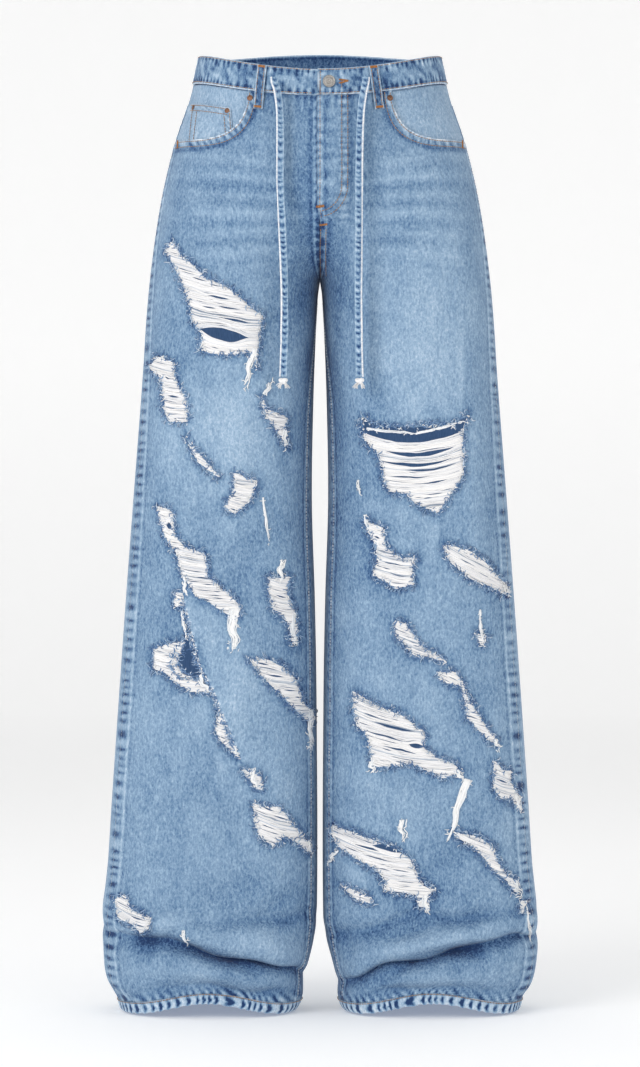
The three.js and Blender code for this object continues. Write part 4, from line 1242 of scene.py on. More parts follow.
def front_panel(side):
    """A front: the surface between the side seam and the inseam, cut by the pocket's mouth and the
    rips, with its fly edge lapped on the wearer's left."""
    theta, level = panel_grid(FRONT_GRID)
    point, normal = surface(side, theta, level)
    if side == "left":
        point = lap_over(point, normal)
    rub, stand = seam_rub_and_shading(point, 31 if side == "left" else 35, 24 if side == "left" else 27, 3)
    faces = grid_faces(*theta.shape)
    point, normal = point.reshape(-1, 3), normal.reshape(-1, 3)
    x, z = point[:, 0], point[:, 2]
    flat_theta, level = theta.ravel(), (level + 0 * theta).ravel()
    rub, stand = rub.ravel(), stand.ravel()
    away, mouth_rub, mouth_stand = mouth_effects(side, x, z)
    into_rip = rip_distance(side, x, z)
    rub = rub + mouth_rub
    fly = smooth_step((z + 212) / 16) * smooth_step((-36 - z) / 8)
    if side == "left":
        # The lapped edge is pale, and the facing's ridge shows through beside the fly's stitching.
        edge = 1.3 * bump((x + 0.9) / 1.8) + 0.5 * bump((x - 14) / 13)
        ridge = 0.35 * bump((x - 28) / 4) - 0.6 * bump((x - 35) / 2.5)
        gathers = 0.9 * puckers(z, np.abs(x - 28), 9.5, 6.0, 44)
        gathers = gathers + 0.45 * puckers(z, np.abs(x - 8), 17.0, 9.0, 43)
        rub = rub + fly * (edge + ridge + gathers)
    # Painted shade under the waistband's edge, gathers there, and roping over the hem.
    under_band = z - band_edge(x)
    rub = rub - 0.6 * bump(under_band / 4.0) + 0.7 * puckers(x, np.abs(under_band + 6), 8.0, 8.0, 45)
    rub = rub + 1.9 * puckers(x, np.abs(level - PANEL_BOTTOM) * 0.7, 11.0, 6.0, 46, slant=0.9)
    # Round each rip the cloth is darker: partly unfaded indigo at the torn edge, partly painted shade round the
    # hole.
    torn = bump(np.minimum(into_rip, 0) / 7.5)
    rub = rub - torn * (0.95 + 1.3 * (value_noise(x / 2.6, z / 2.6, 47) - 0.5))
    wash = wash_of(x, z) + fold_painted_shading(side, flat_theta, level)
    if side == "right":
        beyond = edge_distance(x, z, TORN_EDGE)
        over = smooth_step(beyond / 1.5)
        above, below = np.clip(-640 - z, None, 0), np.clip(z + 817, None, 0)
        near = bump(beyond / 40) * bump(above / 12) * bump(below / 12)
        # Painted shadow on the cloth beside the torn edge, under the cloth that lies over it; the cloth over it
        # is a little paler, and its edge is rubbed white.
        wash = wash + near * (0.10 * over - 0.34 * (1 - over) * bump(beyond / 9))
        rub = rub + 2.2 * near * bump((beyond - 0.8) / 1.1) * (0.5 + value_noise(x / 3, z / 3, 49))
        stand = stand + 1.6 * near * over
    point = point + normal * (stand + mouth_stand + 0.5 * torn * value_noise(x / 5, z / 5, 48))[:, None]
    height = np.minimum(away, -into_rip)
    faces, (point, normal, wash, rub) = keep_part(faces, height, [point, normal, wash, rub])
    finishes = ("denim", "inside", "thread")
    return put_shell(f"denim_front_{side}", f"front_{side}", point, normal, faces, finishes, wash, rub)


def back_panel(side):
    """A back: the surface between the inseam and the side seam, from the slanted yoke seam down."""
    theta, level = panel_grid(BACK_GRID, behind=True)
    point, normal = surface(side, theta, level)
    rub, stand = seam_rub_and_shading(point, 51 if side == "left" else 55, 24 if side == "left" else 27, -3)
    wash = wash_of(point[..., 0], point[..., 2], behind=True) + fold_painted_shading(side, theta, level)
    x, z = point[..., 0], point[..., 2]
    under_yoke = level - level[:1]
    # Puckers under the yoke seam, and painted shade just under the yoke's edge.
    rub = rub + 0.6 * puckers(x, np.abs(under_yoke), 9.0, 7.0, 57) - 0.3 * bump(under_yoke / 3)
    rub = rub + 0.75 * puckers(x, np.abs(z - PANEL_BOTTOM) * 0.7, 11.0, 9.0, 58, slant=0.7)
    pocket = inside_distance(x.ravel(), z.ravel(), on_side(side, BACK_POCKET)).reshape(x.shape)
    # Painted shadow of the pocket's edge on the cloth round it.
    rub = rub - 0.4 * bump((pocket + 1.5) / 2.5)
    point = point + normal * stand[..., None]
    faces, finishes = grid_faces(*theta.shape), ("denim", "inside", "denim")
    return put_shell(f"denim_back_{side}", f"back_{side}", point, normal, faces, finishes, wash, rub)


def yoke(side):
    """A yoke: a slanted strip under the waistband, deeper at the centre back."""
    t = np.linspace(0, 1, YOKE_GRID[1])[None, :]
    down = np.linspace(0, 1, YOKE_GRID[0])[:, None]
    level = mix(SEAM_LEVEL, yoke_seam(t), down)
    gap = SEAM_GAP / (OUTER(level) - INNER(level))
    theta = mix(TAU + SIDE_SEAM(level) - gap, INSEAM(level) + gap, t)
    point, normal = surface(side, theta, level)
    x, z = point[..., 0], point[..., 2]
    from_edge = np.abs(level - yoke_seam(t))
    rub = 0.6 * puckers(x, np.abs(from_edge - 4), 9.5, 5.0, 61) + 0.4 * bump((from_edge - 1) / 1.6)
    # Painted shade just under the waistband, and puckers there.
    rub = rub - 0.35 * bump((level - SEAM_LEVEL) / 3) + 0.4 * puckers(x, level - SEAM_LEVEL, 8.0, 6.0, 62)
    stand = 0.6 * smooth_step((9 - from_edge) / 2.5)
    point = point + normal * stand[..., None]
    wash = wash_of(x, z, behind=True)
    faces, finishes = grid_faces(*theta.shape), ("denim", "inside", "denim")
    return put_shell(f"denim_yoke_{side}", f"yoke_{side}", point, normal, faces, finishes, wash, rub)


def patch(name, node, side, outline, offset, finish, behind=False, fly=False, spread=0.0):
    """A patch parallel to a panel within an outline: a pocket, coin pocket or facing. Its edges are folded, so
    they are rubbed pale, and on a back pocket they stand up a little."""
    low, high = np.min(outline, 0), np.max(outline, 0)
    theta, level = panel_grid(PATCH_GRID, behind)
    if not behind:
        # A pocket's layers come up to the cloth at the side seam, where they are sewn in.
        from_side = (theta - theta[:, :1]) * (OUTER(level) - INNER(level)) / 2
        offset = mix(-0.5, offset, smooth_step(from_side / 26))
    point, normal = surface(side, theta, level, offset)
    if fly:
        point = lap_over(point, normal)
    inside = (point[..., 0] > low[0] - 4) & (point[..., 0] < high[0] + 4)
    inside &= (point[..., 2] > low[1] - 4) & (point[..., 2] < high[1] + 4)
    rows, columns = np.flatnonzero(inside.any(1)), np.flatnonzero(inside.any(0))
    window = (slice(rows[0], rows[-1] + 1), slice(columns[0], columns[-1] + 1))
    point, normal = point[window], normal[window]
    faces = grid_faces(*point.shape[:2])
    point, normal = point.reshape(-1, 3), normal.reshape(-1, 3)
    x, z = point[:, 0], point[:, 2]
    depth = inside_distance(x, z, outline)
    rub = 0.65 * puckers(x + z, np.abs(depth - 4), 9.0, 5.0, 71) + 0.45 * bump((depth - 0.6) / 1.4)
    wash = wash_of(x, z, behind) + spread
    if behind:
        point = point + normal * (0.35 * smooth_step((8.5 - depth) / 2))[:, None]
    faces, (point, normal, wash, rub) = keep_part(faces, depth, [point, normal, wash, rub])
    return put_shell(
        name, node, point, normal, faces, (finish, "inside", finish), wash, rub, PATCH,
    )


def strip_section(top, bottom, face, back, rows):
    """A closed section of a folded strip, as offsets and levels: two flat faces joined by round
    edges of half the wall."""
    radius, middle = (face - back) / 2, (face + back) / 2
    levels = np.linspace(bottom + radius, top - radius, rows)
    arc = np.linspace(0, math.pi, 7)[1:-1]
    out, up = radius * np.cos(arc), radius * np.sin(arc)
    offsets = np.concatenate([np.full(rows, face), middle + out, np.full(rows, back), middle - out])
    return offsets, np.concatenate([levels, top - radius + up, levels[::-1], bottom + radius - up])


def capped_ring(section_count, stations, closed):
    """Faces of a closed section carried through stations, with both ends capped if it is open."""
    faces = [grid_faces(stations + (1 if closed else 0), section_count, ring=True)]
    if closed:
        faces[0] = faces[0] % (stations * section_count)
        return faces
    cap = np.arange(section_count)[None, :]
    return faces + [cap[:, ::-1], cap + (stations - 1) * section_count]


def put_strip(name, node, point, finishes, values, inside=None, closed=False):
    """A folded strip from its sections, station by station, as one object. The columns marked
    inside have the second finish."""
    stations, count = point.shape[:2]
    faces = capped_ring(count, stations, closed)
    slots = None
    if inside is not None:
        slots = np.zeros(sum(len(group) for group in faces), int)
        slots[: len(faces[0])] = np.tile(inside, len(faces[0]) // count)
    return put_mesh(
        name, point.reshape(-1, 3), faces, [material(finish) for finish in finishes], slots, values,
        stands_for=[node],
    )


# The waistband's ends, as angles past the centre front, and the radius by which its length is told.
CENTRE_FRONT = 1.5 * math.pi
BAND_END = 0.018
UNDERLAP = 0.2
BAND_STATIONS = 420
BAND_RADIUS = 150


def waistband():
    """The waistband: a folded strip carried once round from the lapping end, dipping behind its own
    start to end as the underlap. Its long edges pucker between the stitches."""
    past = np.linspace(-TAU - BAND_END, UNDERLAP, BAND_STATIONS)
    dip = -(BAND_WALL + SEAM_GAP + 0.1) * smooth_step((past + 0.3) / 0.26)
    offsets, levels = strip_section(0, -BAND_HEIGHT, BAND_PROUD, BAND_PROUD - BAND_WALL, 15)
    turn = CENTRE_FRONT + past[:, None]
    along = turn * BAND_RADIUS
    face = offsets[None, :] > BAND_PROUD - 0.1
    from_top, from_bottom = -levels[None, :], levels[None, :] + BAND_HEIGHT
    ripple = puckers(along, np.abs(from_bottom - 4), 8.5, 6.0, 81)
    ripple = ripple + 0.9 * puckers(along, np.abs(from_top - 3), 9.0, 6.0, 83)
    ripple = ripple + 1.6 * (value_noise(along / 6 + levels / 9, levels / 7, 89) - 0.5)
    swell = 0.35 * np.sin(math.pi * from_top / BAND_HEIGHT)
    inner_ripple = 0.6 * puckers(along, np.abs(from_bottom - 5), 9.0, 9.0, 85)
    lift = offsets[None, :] + dip[:, None] + np.where(face, 0.38 * ripple + swell, 0.3 * inner_ripple)
    point, _ = hip_surface(turn, levels[None, :], lift)
    rub = np.where(face, 1.5 * ripple, 1.6 * inner_ripple)
    rub = rub + 1.9 * bump(from_top / 1.5) + 2.6 * bump(from_bottom / 1.3)
    rub = rub - 0.7 * bump((from_top - 3.6) / 1.6) - 0.9 * bump((from_bottom - 3.6) / 1.6)
    # The lapping end is a folded edge, worn white.
    rub = rub + 2.2 * bump((past[:, None] + TAU + BAND_END) / 0.013)
    wash = 0.47 + 0.14 * (value_noise(along / 30, levels / 14, 87) - 0.5) + 0 * rub
    return put_strip(
        "denim_waistband", "waistband", point, ["denim", "lining"], {"wash": wash, "rub": rub},
        inside=offsets < BAND_PROUD - BAND_WALL + 0.05,
    )


HEM_PROUD = 0.4
HEM_STATIONS = 300
ROPE_PERIOD = 10.6


def hem(side):
    """A turned-up hem: a folded strip carried round a leg. It ropes: the cloth twists between the
    stitches into slanting light and dark blocks."""
    theta = TAU * np.arange(HEM_STATIONS)[:, None] / HEM_STATIONS
    offsets, levels = strip_section(HEM_TOP, HEM_LEVEL, HEM_PROUD, HEM_PROUD - HEM_WALL, 9)
    ring, _ = surface(side, theta, HEM_LEVEL + 6.0 + 0 * theta)
    steps = np.linalg.norm(np.diff(ring[:, 0], axis=0, append=ring[:1, 0]), axis=1)
    along = np.concatenate(([0], np.cumsum(steps)[:-1]))[:, None]
    along = along * (round(along[-1, 0] / ROPE_PERIOD) * ROPE_PERIOD / along[-1, 0])
    up = levels[None, :] - HEM_LEVEL
    rope = puckers(along, np.abs(up - 5) * 0.7, ROPE_PERIOD, 9.0, 91, slant=0.55)
    face = offsets[None, :] > HEM_PROUD - 0.1
    swell = 0.5 * np.sin(math.pi * up / HEM_HEIGHT)
    lift = offsets[None, :] + np.where(face, 0.7 * rope + swell, 0.3 * rope)
    point, _ = surface(side, theta + 0 * lift, levels[None, :] + 0 * lift, lift)
    point[..., 2] += 0.8 * rope * smooth_step(1 - up / 7)
    rub = 2.0 - 5.6 * np.clip(-rope + 0.12, 0, 1) * bump((up - 6) / 5.5)
    rub = rub + 0.6 * bump(up / 1.5) - 1.2 * bump((up - HEM_HEIGHT) / 1.6)
    wash = 0.42 + 0.12 * (value_noise(along / 40, 0.5, 93) - 0.5) + 0 * rub
    return put_strip(
        f"denim_hem_{side}", f"hem_{side}", point, ["denim", "inside"], {"wash": wash, "rub": rub},
        inside=offsets < HEM_PROUD - HEM_WALL + 0.05, closed=True,
    )


# Each belt loop's angle round the hips at its top, and how far it leans on its way down.
LOOPS = {
    "front_left": (-1.126, 0.0135), "side_left": (0.45, 0.0), "back": (math.pi / 2, 0.0),
    "side_right": (math.pi - 0.45, 0.0), "front_right": (math.pi + 1.086, 0.007),
}
LOOP_WIDTH = 11
LOOP_WALL = 1.8
LOOP_TOP, LOOP_BOTTOM = -1, -BAND_HEIGHT - 23
LOOP_STAND_OFF = 1.8
LOOP_STATIONS, LOOP_AROUND = 34, 20


def loop_frame(name, down):
    """Turn, level and height off the body of a belt loop's middle line, from 0 at its top to 1."""
    turn, lean = LOOPS[name]
    level = mix(LOOP_TOP, LOOP_BOTTOM, down)
    on_band = 1 - smooth_step((-BAND_HEIGHT - 2 - level) / 9)
    lift = SEAM_GAP + LOOP_WALL + BAND_PROUD * on_band + LOOP_STAND_OFF * np.sin(math.pi * down)
    return turn + lean * down, level, lift


def belt_loop(name):
    """A belt loop: a folded strip with a raised middle, carried down over the waistband."""
    down = np.linspace(0, 1, LOOP_STATIONS)[:, None]
    turn, level, lift = loop_frame(name, down)
    cosine, sine = squared_circle(LOOP_AROUND, 0.45)
    across, thick = LOOP_WIDTH / 2 * cosine[None, :], LOOP_WALL / 2 * sine[None, :]
    speed = hip_speed(turn, level)
    ribs = 0.25 * np.cos(across / LOOP_WIDTH * TAU) * (thick > 0)
    ripple = 0.2 * np.sin(down * 31 + across)
    point, _ = hip_surface(
        turn + across / speed, level + 0 * across,
        lift - LOOP_WALL / 2 + thick + ribs + ripple * (thick > 0),
    )
    # Its edges, middle and ends are worn pale, and it is dark between them.
    rub = 1.7 * bump((np.abs(across) - 4.9) / 0.9) + 0.5 * np.sin(down * 31 + 0.7 * across)
    rub = rub + 0.9 * bump(across / 0.9) - 0.8 * bump((np.abs(across) - 2.2) / 1.2)
    rub = rub + 0.6 * bump(down / 0.04) + 0.5 * bump((1 - down) / 0.05)
    return put_strip(
        f"denim_loop_{name}", f"belt_loop_{name}", point, ["denim"], {"wash": 0.47 + 0 * rub, "rub": rub}
    )


# ---- Threads, fringe and stitching ----


def put_threads(name, parts, finish, stands_for=()):
    """Threads of cotton, from their parts, as one object."""
    points, faces, values = joined(parts)
    return put_mesh(
        name, points, faces, [material(finish)], None, values, stands_for=stands_for
    )


def thread_lines(rip, pitch, rng):
    """The lines of a rip's threads. In a plane where the fall and sag are straightened out, each
    line is level, and the stretches of it inside the outline are its threads."""
    outline = spaced(rip["outline"], 1.2, closed=True)
    low, high = outline.min(0), outline.max(0)
    middle, half = (low[0] + high[0]) / 2, (high[0] - low[0]) / 2
    top_sag, bottom_sag = rip["sag"]

    def hang(x, w):
        share = np.clip((high[1] - w) / (high[1] - low[1]), 0, 1)
        sag = mix(top_sag, bottom_sag, share) * (1 - ((x - middle) / half) ** 2)
        return rip["slope"] * (x - middle) - sag

    flat = outline[:, 1].copy()
    for _ in range(6):
        flat = outline[:, 1] - hang(outline[:, 0], flat)
    ceiling = rip.get("ceiling", np.inf)
    stretches = []
    lines = np.arange(flat.min() + 0.5, flat.max(), pitch)
    for w in lines + rng.uniform(-0.18, 0.18, len(lines)):
        if w > ceiling:
            continue
        a, b = flat, np.roll(flat, -1)
        hits = (a > w) != (b > w)
        t = (w - a[hits]) / (b[hits] - a[hits])
        xs = np.sort(mix(outline[hits, 0], np.roll(outline[:, 0], -1)[hits], t))
        for start, end in zip(xs[::2], xs[1::2]):
            if end - start > 1.5:
                stretches.append((w, start, end))
    return np.array(stretches), hang


def part_gaps(x, w, hang, gaps):
    """How far threads move aside, up or down, where they have parted into a gap shaped like a lens."""
    shift = 0 * (x + w)
    for cx, cz, half_length, half_height in gaps:
        above = w - (cz - hang(cx, cz))
        reach = np.clip(1 - ((x - cx) / half_length) ** 2, 0, None) * half_height
        fade = np.exp(-np.abs(above) / (1.3 * half_height + 1.0))
        shift = shift + np.where(above >= 0, 1, -1) * reach * fade
    return shift


def rip_threads(side, rip, settings, rng):
    """White weft threads across a rip, as flat tubes that lie just under the cloth's face, sag
    and part, with their own shades."""
    stretches, hang = thread_lines(rip, settings.pitch, rng)
    w, start, end = stretches.T
    over = rng.uniform(0.8, 2.6, (2, len(w)))
    steps = int(np.clip((end - start).max() / 3.6, 7, 26))
    s = np.linspace(0, 1, steps)[None, :]
    w = w[:, None]
    x = mix((start - over[0])[:, None], (end + over[1])[:, None], s)
    length = (end - start)[:, None]
    slits = []
    for k in rng.choice(len(w), max(1, len(w) // 5), replace=False):
        cx = rng.uniform(start[k], end[k])
        slits.append((cx, w[k, 0] + hang(cx, w[k, 0]), rng.uniform(3, 10), rng.uniform(0.3, 0.9)))
    free = np.sin(math.pi * s) ** 0.6 * np.minimum(length / 20, 1)
    z = w + hang(x, w) + part_gaps(x, w, hang, rip["gaps"] + slits)
    slow, quick = value_noise(x / 19, w / 3.0, 121), value_noise(x / 7 + 9.1 * w, w, 122)
    z = z + free * (2.3 * (slow - 0.5) + 0.9 * (quick - 0.5))
    slack = np.sin(math.pi * s)
    bulge = 0.9 * np.clip(1 - length / 60, 0, 1)
    lift = -0.3 + (0.35 * rng.normal(0, 1, (len(w), 1)) + bulge - 0.008 * length) * slack
    lift = lift + 0.9 * (1 - slack) ** 6 * rng.uniform(0.2, 1.0, (len(w), 1))
    point, normal = on_front(side, x, z, lift)
    radius = settings.radius * rng.uniform(0.8, 1.15, (len(w), 1)) * (1 - 0.35 * (1 - slack) ** 4)
    points, faces = tubes(point, radius, normal, 4, flat=0.75)
    # One thread in eleven is much darker than the rest: painted shade for the dark lines between threads.
    shade = rng.normal(0.76, 0.14, (len(w), 1, 1)) - 0.4 * (rng.random((len(w), 1, 1)) < 0.09)
    shade = np.broadcast_to(np.clip(shade, 0.1, 1), (len(w), steps, 4)).ravel()
    return points, faces, {"shade": shade}


def curls(side, start, direction, length, shade, rng, radius):
    """Curly loose fibres over the cloth: each bends away from its start as it goes, and rises and
    falls, so that some are hooks and loops."""
    count, steps = len(start), 5
    s = np.linspace(0, 1, steps)[None, :]
    bend = rng.normal(0, 2.2, (count, 1))
    heading = np.arctan2(direction[:, 1], direction[:, 0])[:, None] + bend * s
    step = length[:, None] / (steps - 1)
    still = np.zeros((count, 1))
    x = start[:, :1] + np.concatenate([still, np.cumsum(step * np.cos(heading[:, 1:]), 1)], 1)
    z = start[:, 1:] + np.concatenate([still, np.cumsum(step * np.sin(heading[:, 1:]), 1)], 1)
    rise = rng.uniform(0.3, 1.3, (count, 1)) * np.sin(math.pi * np.clip(s * 1.1, 0, 1)) + 0.15
    point, normal = on_front(side, x, z, rise)
    width = radius * (1 - 0.5 * s**2) * rng.uniform(0.75, 1.2, (count, 1))
    points, faces = tubes(point, width, normal, 3)
    return points, faces, {"shade": np.repeat(shade, steps * 3)}


def fringe(side, settings, rng):
    """Frayed yarn round every rip: blue warp ends that stand out from the torn edge, white weft
    ends, and fuzz over the cloth beside it."""
    starts, outward = [], []
    if side == "right":
        starts.append(spaced(TORN_EDGE, settings.spacing / 2))
        outward.append(np.tile([-0.9, 0.3], (len(starts[0]), 1)))
    for rip in rips_of(side):
        line = spaced(rip["outline"], settings.spacing, closed=True)
        ahead = np.roll(line, -1, axis=0) - np.roll(line, 1, axis=0)
        area = np.sum(line[:, 0] * np.roll(line[:, 1], -1) - np.roll(line[:, 0], -1) * line[:, 1])
        out = np.stack([ahead[:, 1], -ahead[:, 0]], 1) * np.sign(area)
        starts.append(line)
        outward.append(unit(out))
    starts, outward = np.concatenate(starts), np.concatenate(outward)
    upright = np.abs(outward[:, 1])
    parts = []
    # The warp is blue and runs down the leg, so it frays at a rip's top and bottom. The weft is
    # white and frays at its sides.
    for kind, share in (("warp", 0.72 + 0.25 * upright), ("weft", 0.34 - 0.16 * upright), ("fuzz", 0.30)):
        chosen = rng.random(len(starts)) < share
        start, out = starts[chosen], outward[chosen]
        count = len(start)
        aside = np.stack([-out[:, 1], out[:, 0]], 1) * rng.choice([-1.0, 1.0], (count, 1))
        if kind == "warp":
            start = start + out * rng.uniform(0.2, 3.6, (count, 1))
            heading = out * rng.uniform(-0.35, 0.75, (count, 1)) + aside * rng.uniform(0.3, 1.0, (count, 1))
            length, shade = rng.uniform(4.0, 8.5, count), rng.uniform(0.14, 0.62, count)
        elif kind == "weft":
            start = start - out * rng.uniform(-0.6, 1.4, (count, 1))
            heading = out * rng.uniform(-0.7, 0.35, (count, 1)) + aside * rng.uniform(0.2, 1.0, (count, 1))
            length, shade = rng.uniform(2.5, 5.0, count), rng.uniform(0.74, 1.0, count)
        else:
            start = start + out * rng.uniform(1.5, 6.0, (count, 1))
            heading = rng.normal(0, 1, (count, 2))
            length, shade = rng.uniform(2.0, 4.5, count), rng.uniform(0.3, 0.64, count)
        start = start + rng.normal(0, 0.5, (count, 2))
        parts.append(curls(side, start, heading, length, shade, rng, settings.fibre))
    return parts


TAIL_RADIUS = 0.72
TAIL_STEPS = 12


def tails(side, settings, rng):
    """Bundles of loose white threads over the cloth: wavy, of uneven length, and drawn together at
    their ends, with white curls that stand off them."""
    parts = []
    for x0, z0, x1, z1, width, count in TAILS[side]:
        run = np.array([x1 - x0, z1 - z0], float)
        across = np.array([-run[1], run[0]]) / np.linalg.norm(run)
        s = np.linspace(0, 1, TAIL_STEPS)[None, :]
        first = rng.uniform(0, 0.35, (count, 1)) * (rng.random((count, 1)) < 0.5)
        last = rng.uniform(0.55, 1.05, (count, 1))
        t = mix(first, last, s)
        away = rng.normal(0, width / 3.6, (count, 1)) * (1 - 0.55 * t)
        away = away + 2.6 * (value_noise(t * 4, 0.5, 131) - 0.5) * width / 3
        own = rng.uniform(0, 99, (count, 1))
        away = away + 2.8 * (value_noise(t * 9, own, 132) - 0.5)
        x, z = x0 + run[0] * t + across[0] * away, z0 + run[1] * t + across[1] * away
        rise = 0.5 + rng.uniform(0, 1.6, (count, 1)) * np.sin(math.pi * t.clip(0, 1))
        point, normal = on_front(side, x, z, rise)
        points, faces = tubes(point, TAIL_RADIUS * (1 - 0.4 * s**3), normal, 4, flat=0.8)
        shade = rng.uniform(0.72, 1.0, count)
        parts.append((points, faces, {"shade": np.repeat(shade, TAIL_STEPS * 4)}))
        # White curls stand off the bundle all along it.
        at = rng.uniform(0, 1.05, (count, 1))
        start = np.array([x0, z0]) + run * at + across * rng.normal(0, width / 3.2, (count, 1))
        heading = rng.normal(0, 1, (count, 2))
        length, shade = rng.uniform(3, 6, count), rng.uniform(0.74, 1.0, count)
        parts.append(curls(side, start, heading, length, shade, rng, settings.fibre))
    return parts


STITCH_PITCH = 3.6
STITCH_LENGTH = 2.8
STITCH_RADIUS = 0.52
# The steps in which a row, and a bar tack, go over the cloth, and the spacing of a tack's threads.
ROW_STEP = 2.0
TACK_STEP = 1.0
TACK_PITCH = 0.62


def stitch_row(points, normals, radius=STITCH_RADIUS):
    """A row of machine stitches along points on the cloth: short capsules that dip at both ends,
    every pitch of the row's length."""
    lengths = lengths_along(points)
    middles = np.arange(STITCH_PITCH / 2, lengths[-1] - STITCH_LENGTH / 2, STITCH_PITCH)
    s = np.linspace(-0.5, 0.5, 4)
    at = middles[:, None] + s[None, :] * STITCH_LENGTH
    path = points_at(at, lengths, points)
    normal = unit(points_at(at, lengths, normals))
    path = path + normal * (0.28 - 1.3 * s**2)[None, :, None]
    points, faces = tubes(path, radius * (1 - 1.6 * s**2)[None, :], normal, 3)
    shade = np.repeat(0.5 + 0.5 * value_noise(middles / 5, 3.3, 101), 12)
    return points, faces, {"shade": shade}


def row_on_front(side, line, lift):
    """A row of stitches along a line of (x, z) points on a front."""
    line = spaced(line, ROW_STEP)
    return stitch_row(*on_front(side, line[:, 0], line[:, 1], lift))


def row_by_angle(side, theta, level, lift, radius=STITCH_RADIUS):
    """A row of stitches through angles and levels of a leg."""
    return stitch_row(*surface(side, theta, level, lift), radius)


def row_behind(side, line, lift):
    """A row of stitches along a line of (x, z) points on a back."""
    line = spaced(line, ROW_STEP)
    theta, level = find_on(side, line[:, 0], line[:, 1], behind=True)
    return stitch_row(*surface(side, theta, level, lift))


def bar_tack(points, normals, across):
    """A bar tack: a packed row of short threads laid across a line."""
    lengths = lengths_along(points)
    at = np.arange(0.3, lengths[-1], TACK_PITCH)
    middle = points_at(at, lengths, points)
    normal = unit(points_at(at, lengths, normals))
    along = unit(np.gradient(middle, axis=0))
    side = unit(np.cross(along, normal))
    s = np.linspace(-0.5, 0.5, 4)[None, :, None]
    path = middle[:, None] + side[:, None] * s * across + normal[:, None] * (0.6 - 1.8 * s**2)
    points, faces = tubes(path, np.full(path.shape[:2], 0.4), np.repeat(normal[:, None], 4, 1), 3)
    return points, faces, {"shade": np.repeat(0.4 + 0.6 * value_noise(at, 1.5, 103), 12)}


# Where rows of stitching run. On the fly, x and the level at which each curve ends, and the level at
# which both begin to curve. Then the distances of each pair of rows from its edge or seam.
FLY_ROWS = ((24.5, -190), (31, -196))
FLY_TURN = -160
CENTRE_ROWS = (0.6, 6.6)
MOUTH_ROWS = (2.2, 8.6)
INSEAM_ROWS = (2.2, 4.6)
YOKE_ROWS = (3.0, 8.5)
BACK_POCKET_ROWS = (3.0, 9.0)
BACK_POCKET_HEM_ROWS = (4, 15)
SEAT_ROWS = (2.5, 8.0)
BAND_ROWS = (-1.7, -BAND_HEIGHT + 1.9)
LOOP_ROWS = (-3.4, 3.4)
# On the coin pocket: two rows along its top, two down its inner side and two down its outer side.
COIN_ROWS = (
    [(-152, -59.6), (-105, -70.9)], [(-153, -66), (-105, -77.4)], [(-105.4, -71), (-102.6, -110)],
    [(-111.5, -78), (-108.8, -110)], [(-149.6, -61), (-153.8, -108)], [(-144.6, -69), (-148.6, -108)],
)


def fly_and_front_rows():
    """Topstitching of the fly, the centre seam, the pockets' mouths and the coin pocket."""
    rows = []
    for x, bottom in FLY_ROWS:
        bend = np.linspace(0, math.pi / 2, 14)
        curve = np.stack([x * np.cos(bend) + 1.5, FLY_TURN + (bottom - FLY_TURN) * np.sin(bend)], 1)
        rows.append(row_on_front("left", np.concatenate([[[x + 1.5, -38]], curve]), lift=0.25))
    for x in CENTRE_ROWS:
        rows.append(row_on_front("left", [(x + 0.4, -210), (x, -240), (x + 0.6, -262)], lift=0.25))
    rows.append(row_on_front("left", [(2.4, -40), (2.4, -150), (2.2, -200)], lift=0.25))
    for side in SIDES:
        for grow in MOUTH_ROWS:
            line = on_side(side, pocket_mouth(grow)[2:-1])
            rows.append(row_on_front(side, line, lift=0.75))
    for line in COIN_ROWS:
        line = spaced(line, ROW_STEP)
        theta, level = find_on("right", line[:, 0], line[:, 1])
        rows.append(stitch_row(*surface("right", theta, level, COIN_OFFSET + 0.9)))
    return rows


def leg_rows():
    """Topstitching of the inseams, the side seams, the yokes, the back pockets and the seat."""
    rows = []
    for side in SIDES:
        level = np.linspace(-290, PANEL_BOTTOM + 3, 420)
        width = (OUTER(level) - INNER(level)) / 2
        for away in INSEAM_ROWS:
            rows.append(row_by_angle(side, INSEAM(level) - away / width, level, 0.45))
        level = np.linspace(-106, PANEL_BOTTOM + 3, 500)
        width = (OUTER(level) - INNER(level)) / 2 * 0.9
        rows.append(row_by_angle(side, SIDE_SEAM(level) + 2.0 / width, level, 0.6, radius=0.36))
        for away in YOKE_ROWS:
            t = np.linspace(0.01, 0.995, 60)
            level = yoke_seam(t) + away
            theta = mix(TAU + SIDE_SEAM(level), INSEAM(level), t)
            rows.append(row_by_angle(side, theta, level, 0.75))
        for grow in BACK_POCKET_ROWS:
            outline = np.array(BACK_POCKET, float)
            centre = outline.mean(0)
            outline = outline + unit(centre - outline) * grow * 1.35
            loop = np.concatenate([outline[1:], outline[:1]])
            rows.append(row_behind(side, on_side(side, loop), lift=2.1))
        for drop in BACK_POCKET_HEM_ROWS:
            top = [(33, -112 - drop), (163, -104 - drop)]
            rows.append(row_behind(side, on_side(side, top), lift=2.0))
    for away in SEAT_ROWS:
        level = np.linspace(SEAM_LEVEL - YOKE_CENTRE - 2, -255, 80)
        theta = math.pi + away / (0.5 * np.maximum(OUTER(level), 1)) * 0.5
        rows.append(row_by_angle("left", theta + 0 * level, level, 0.45))
    return rows


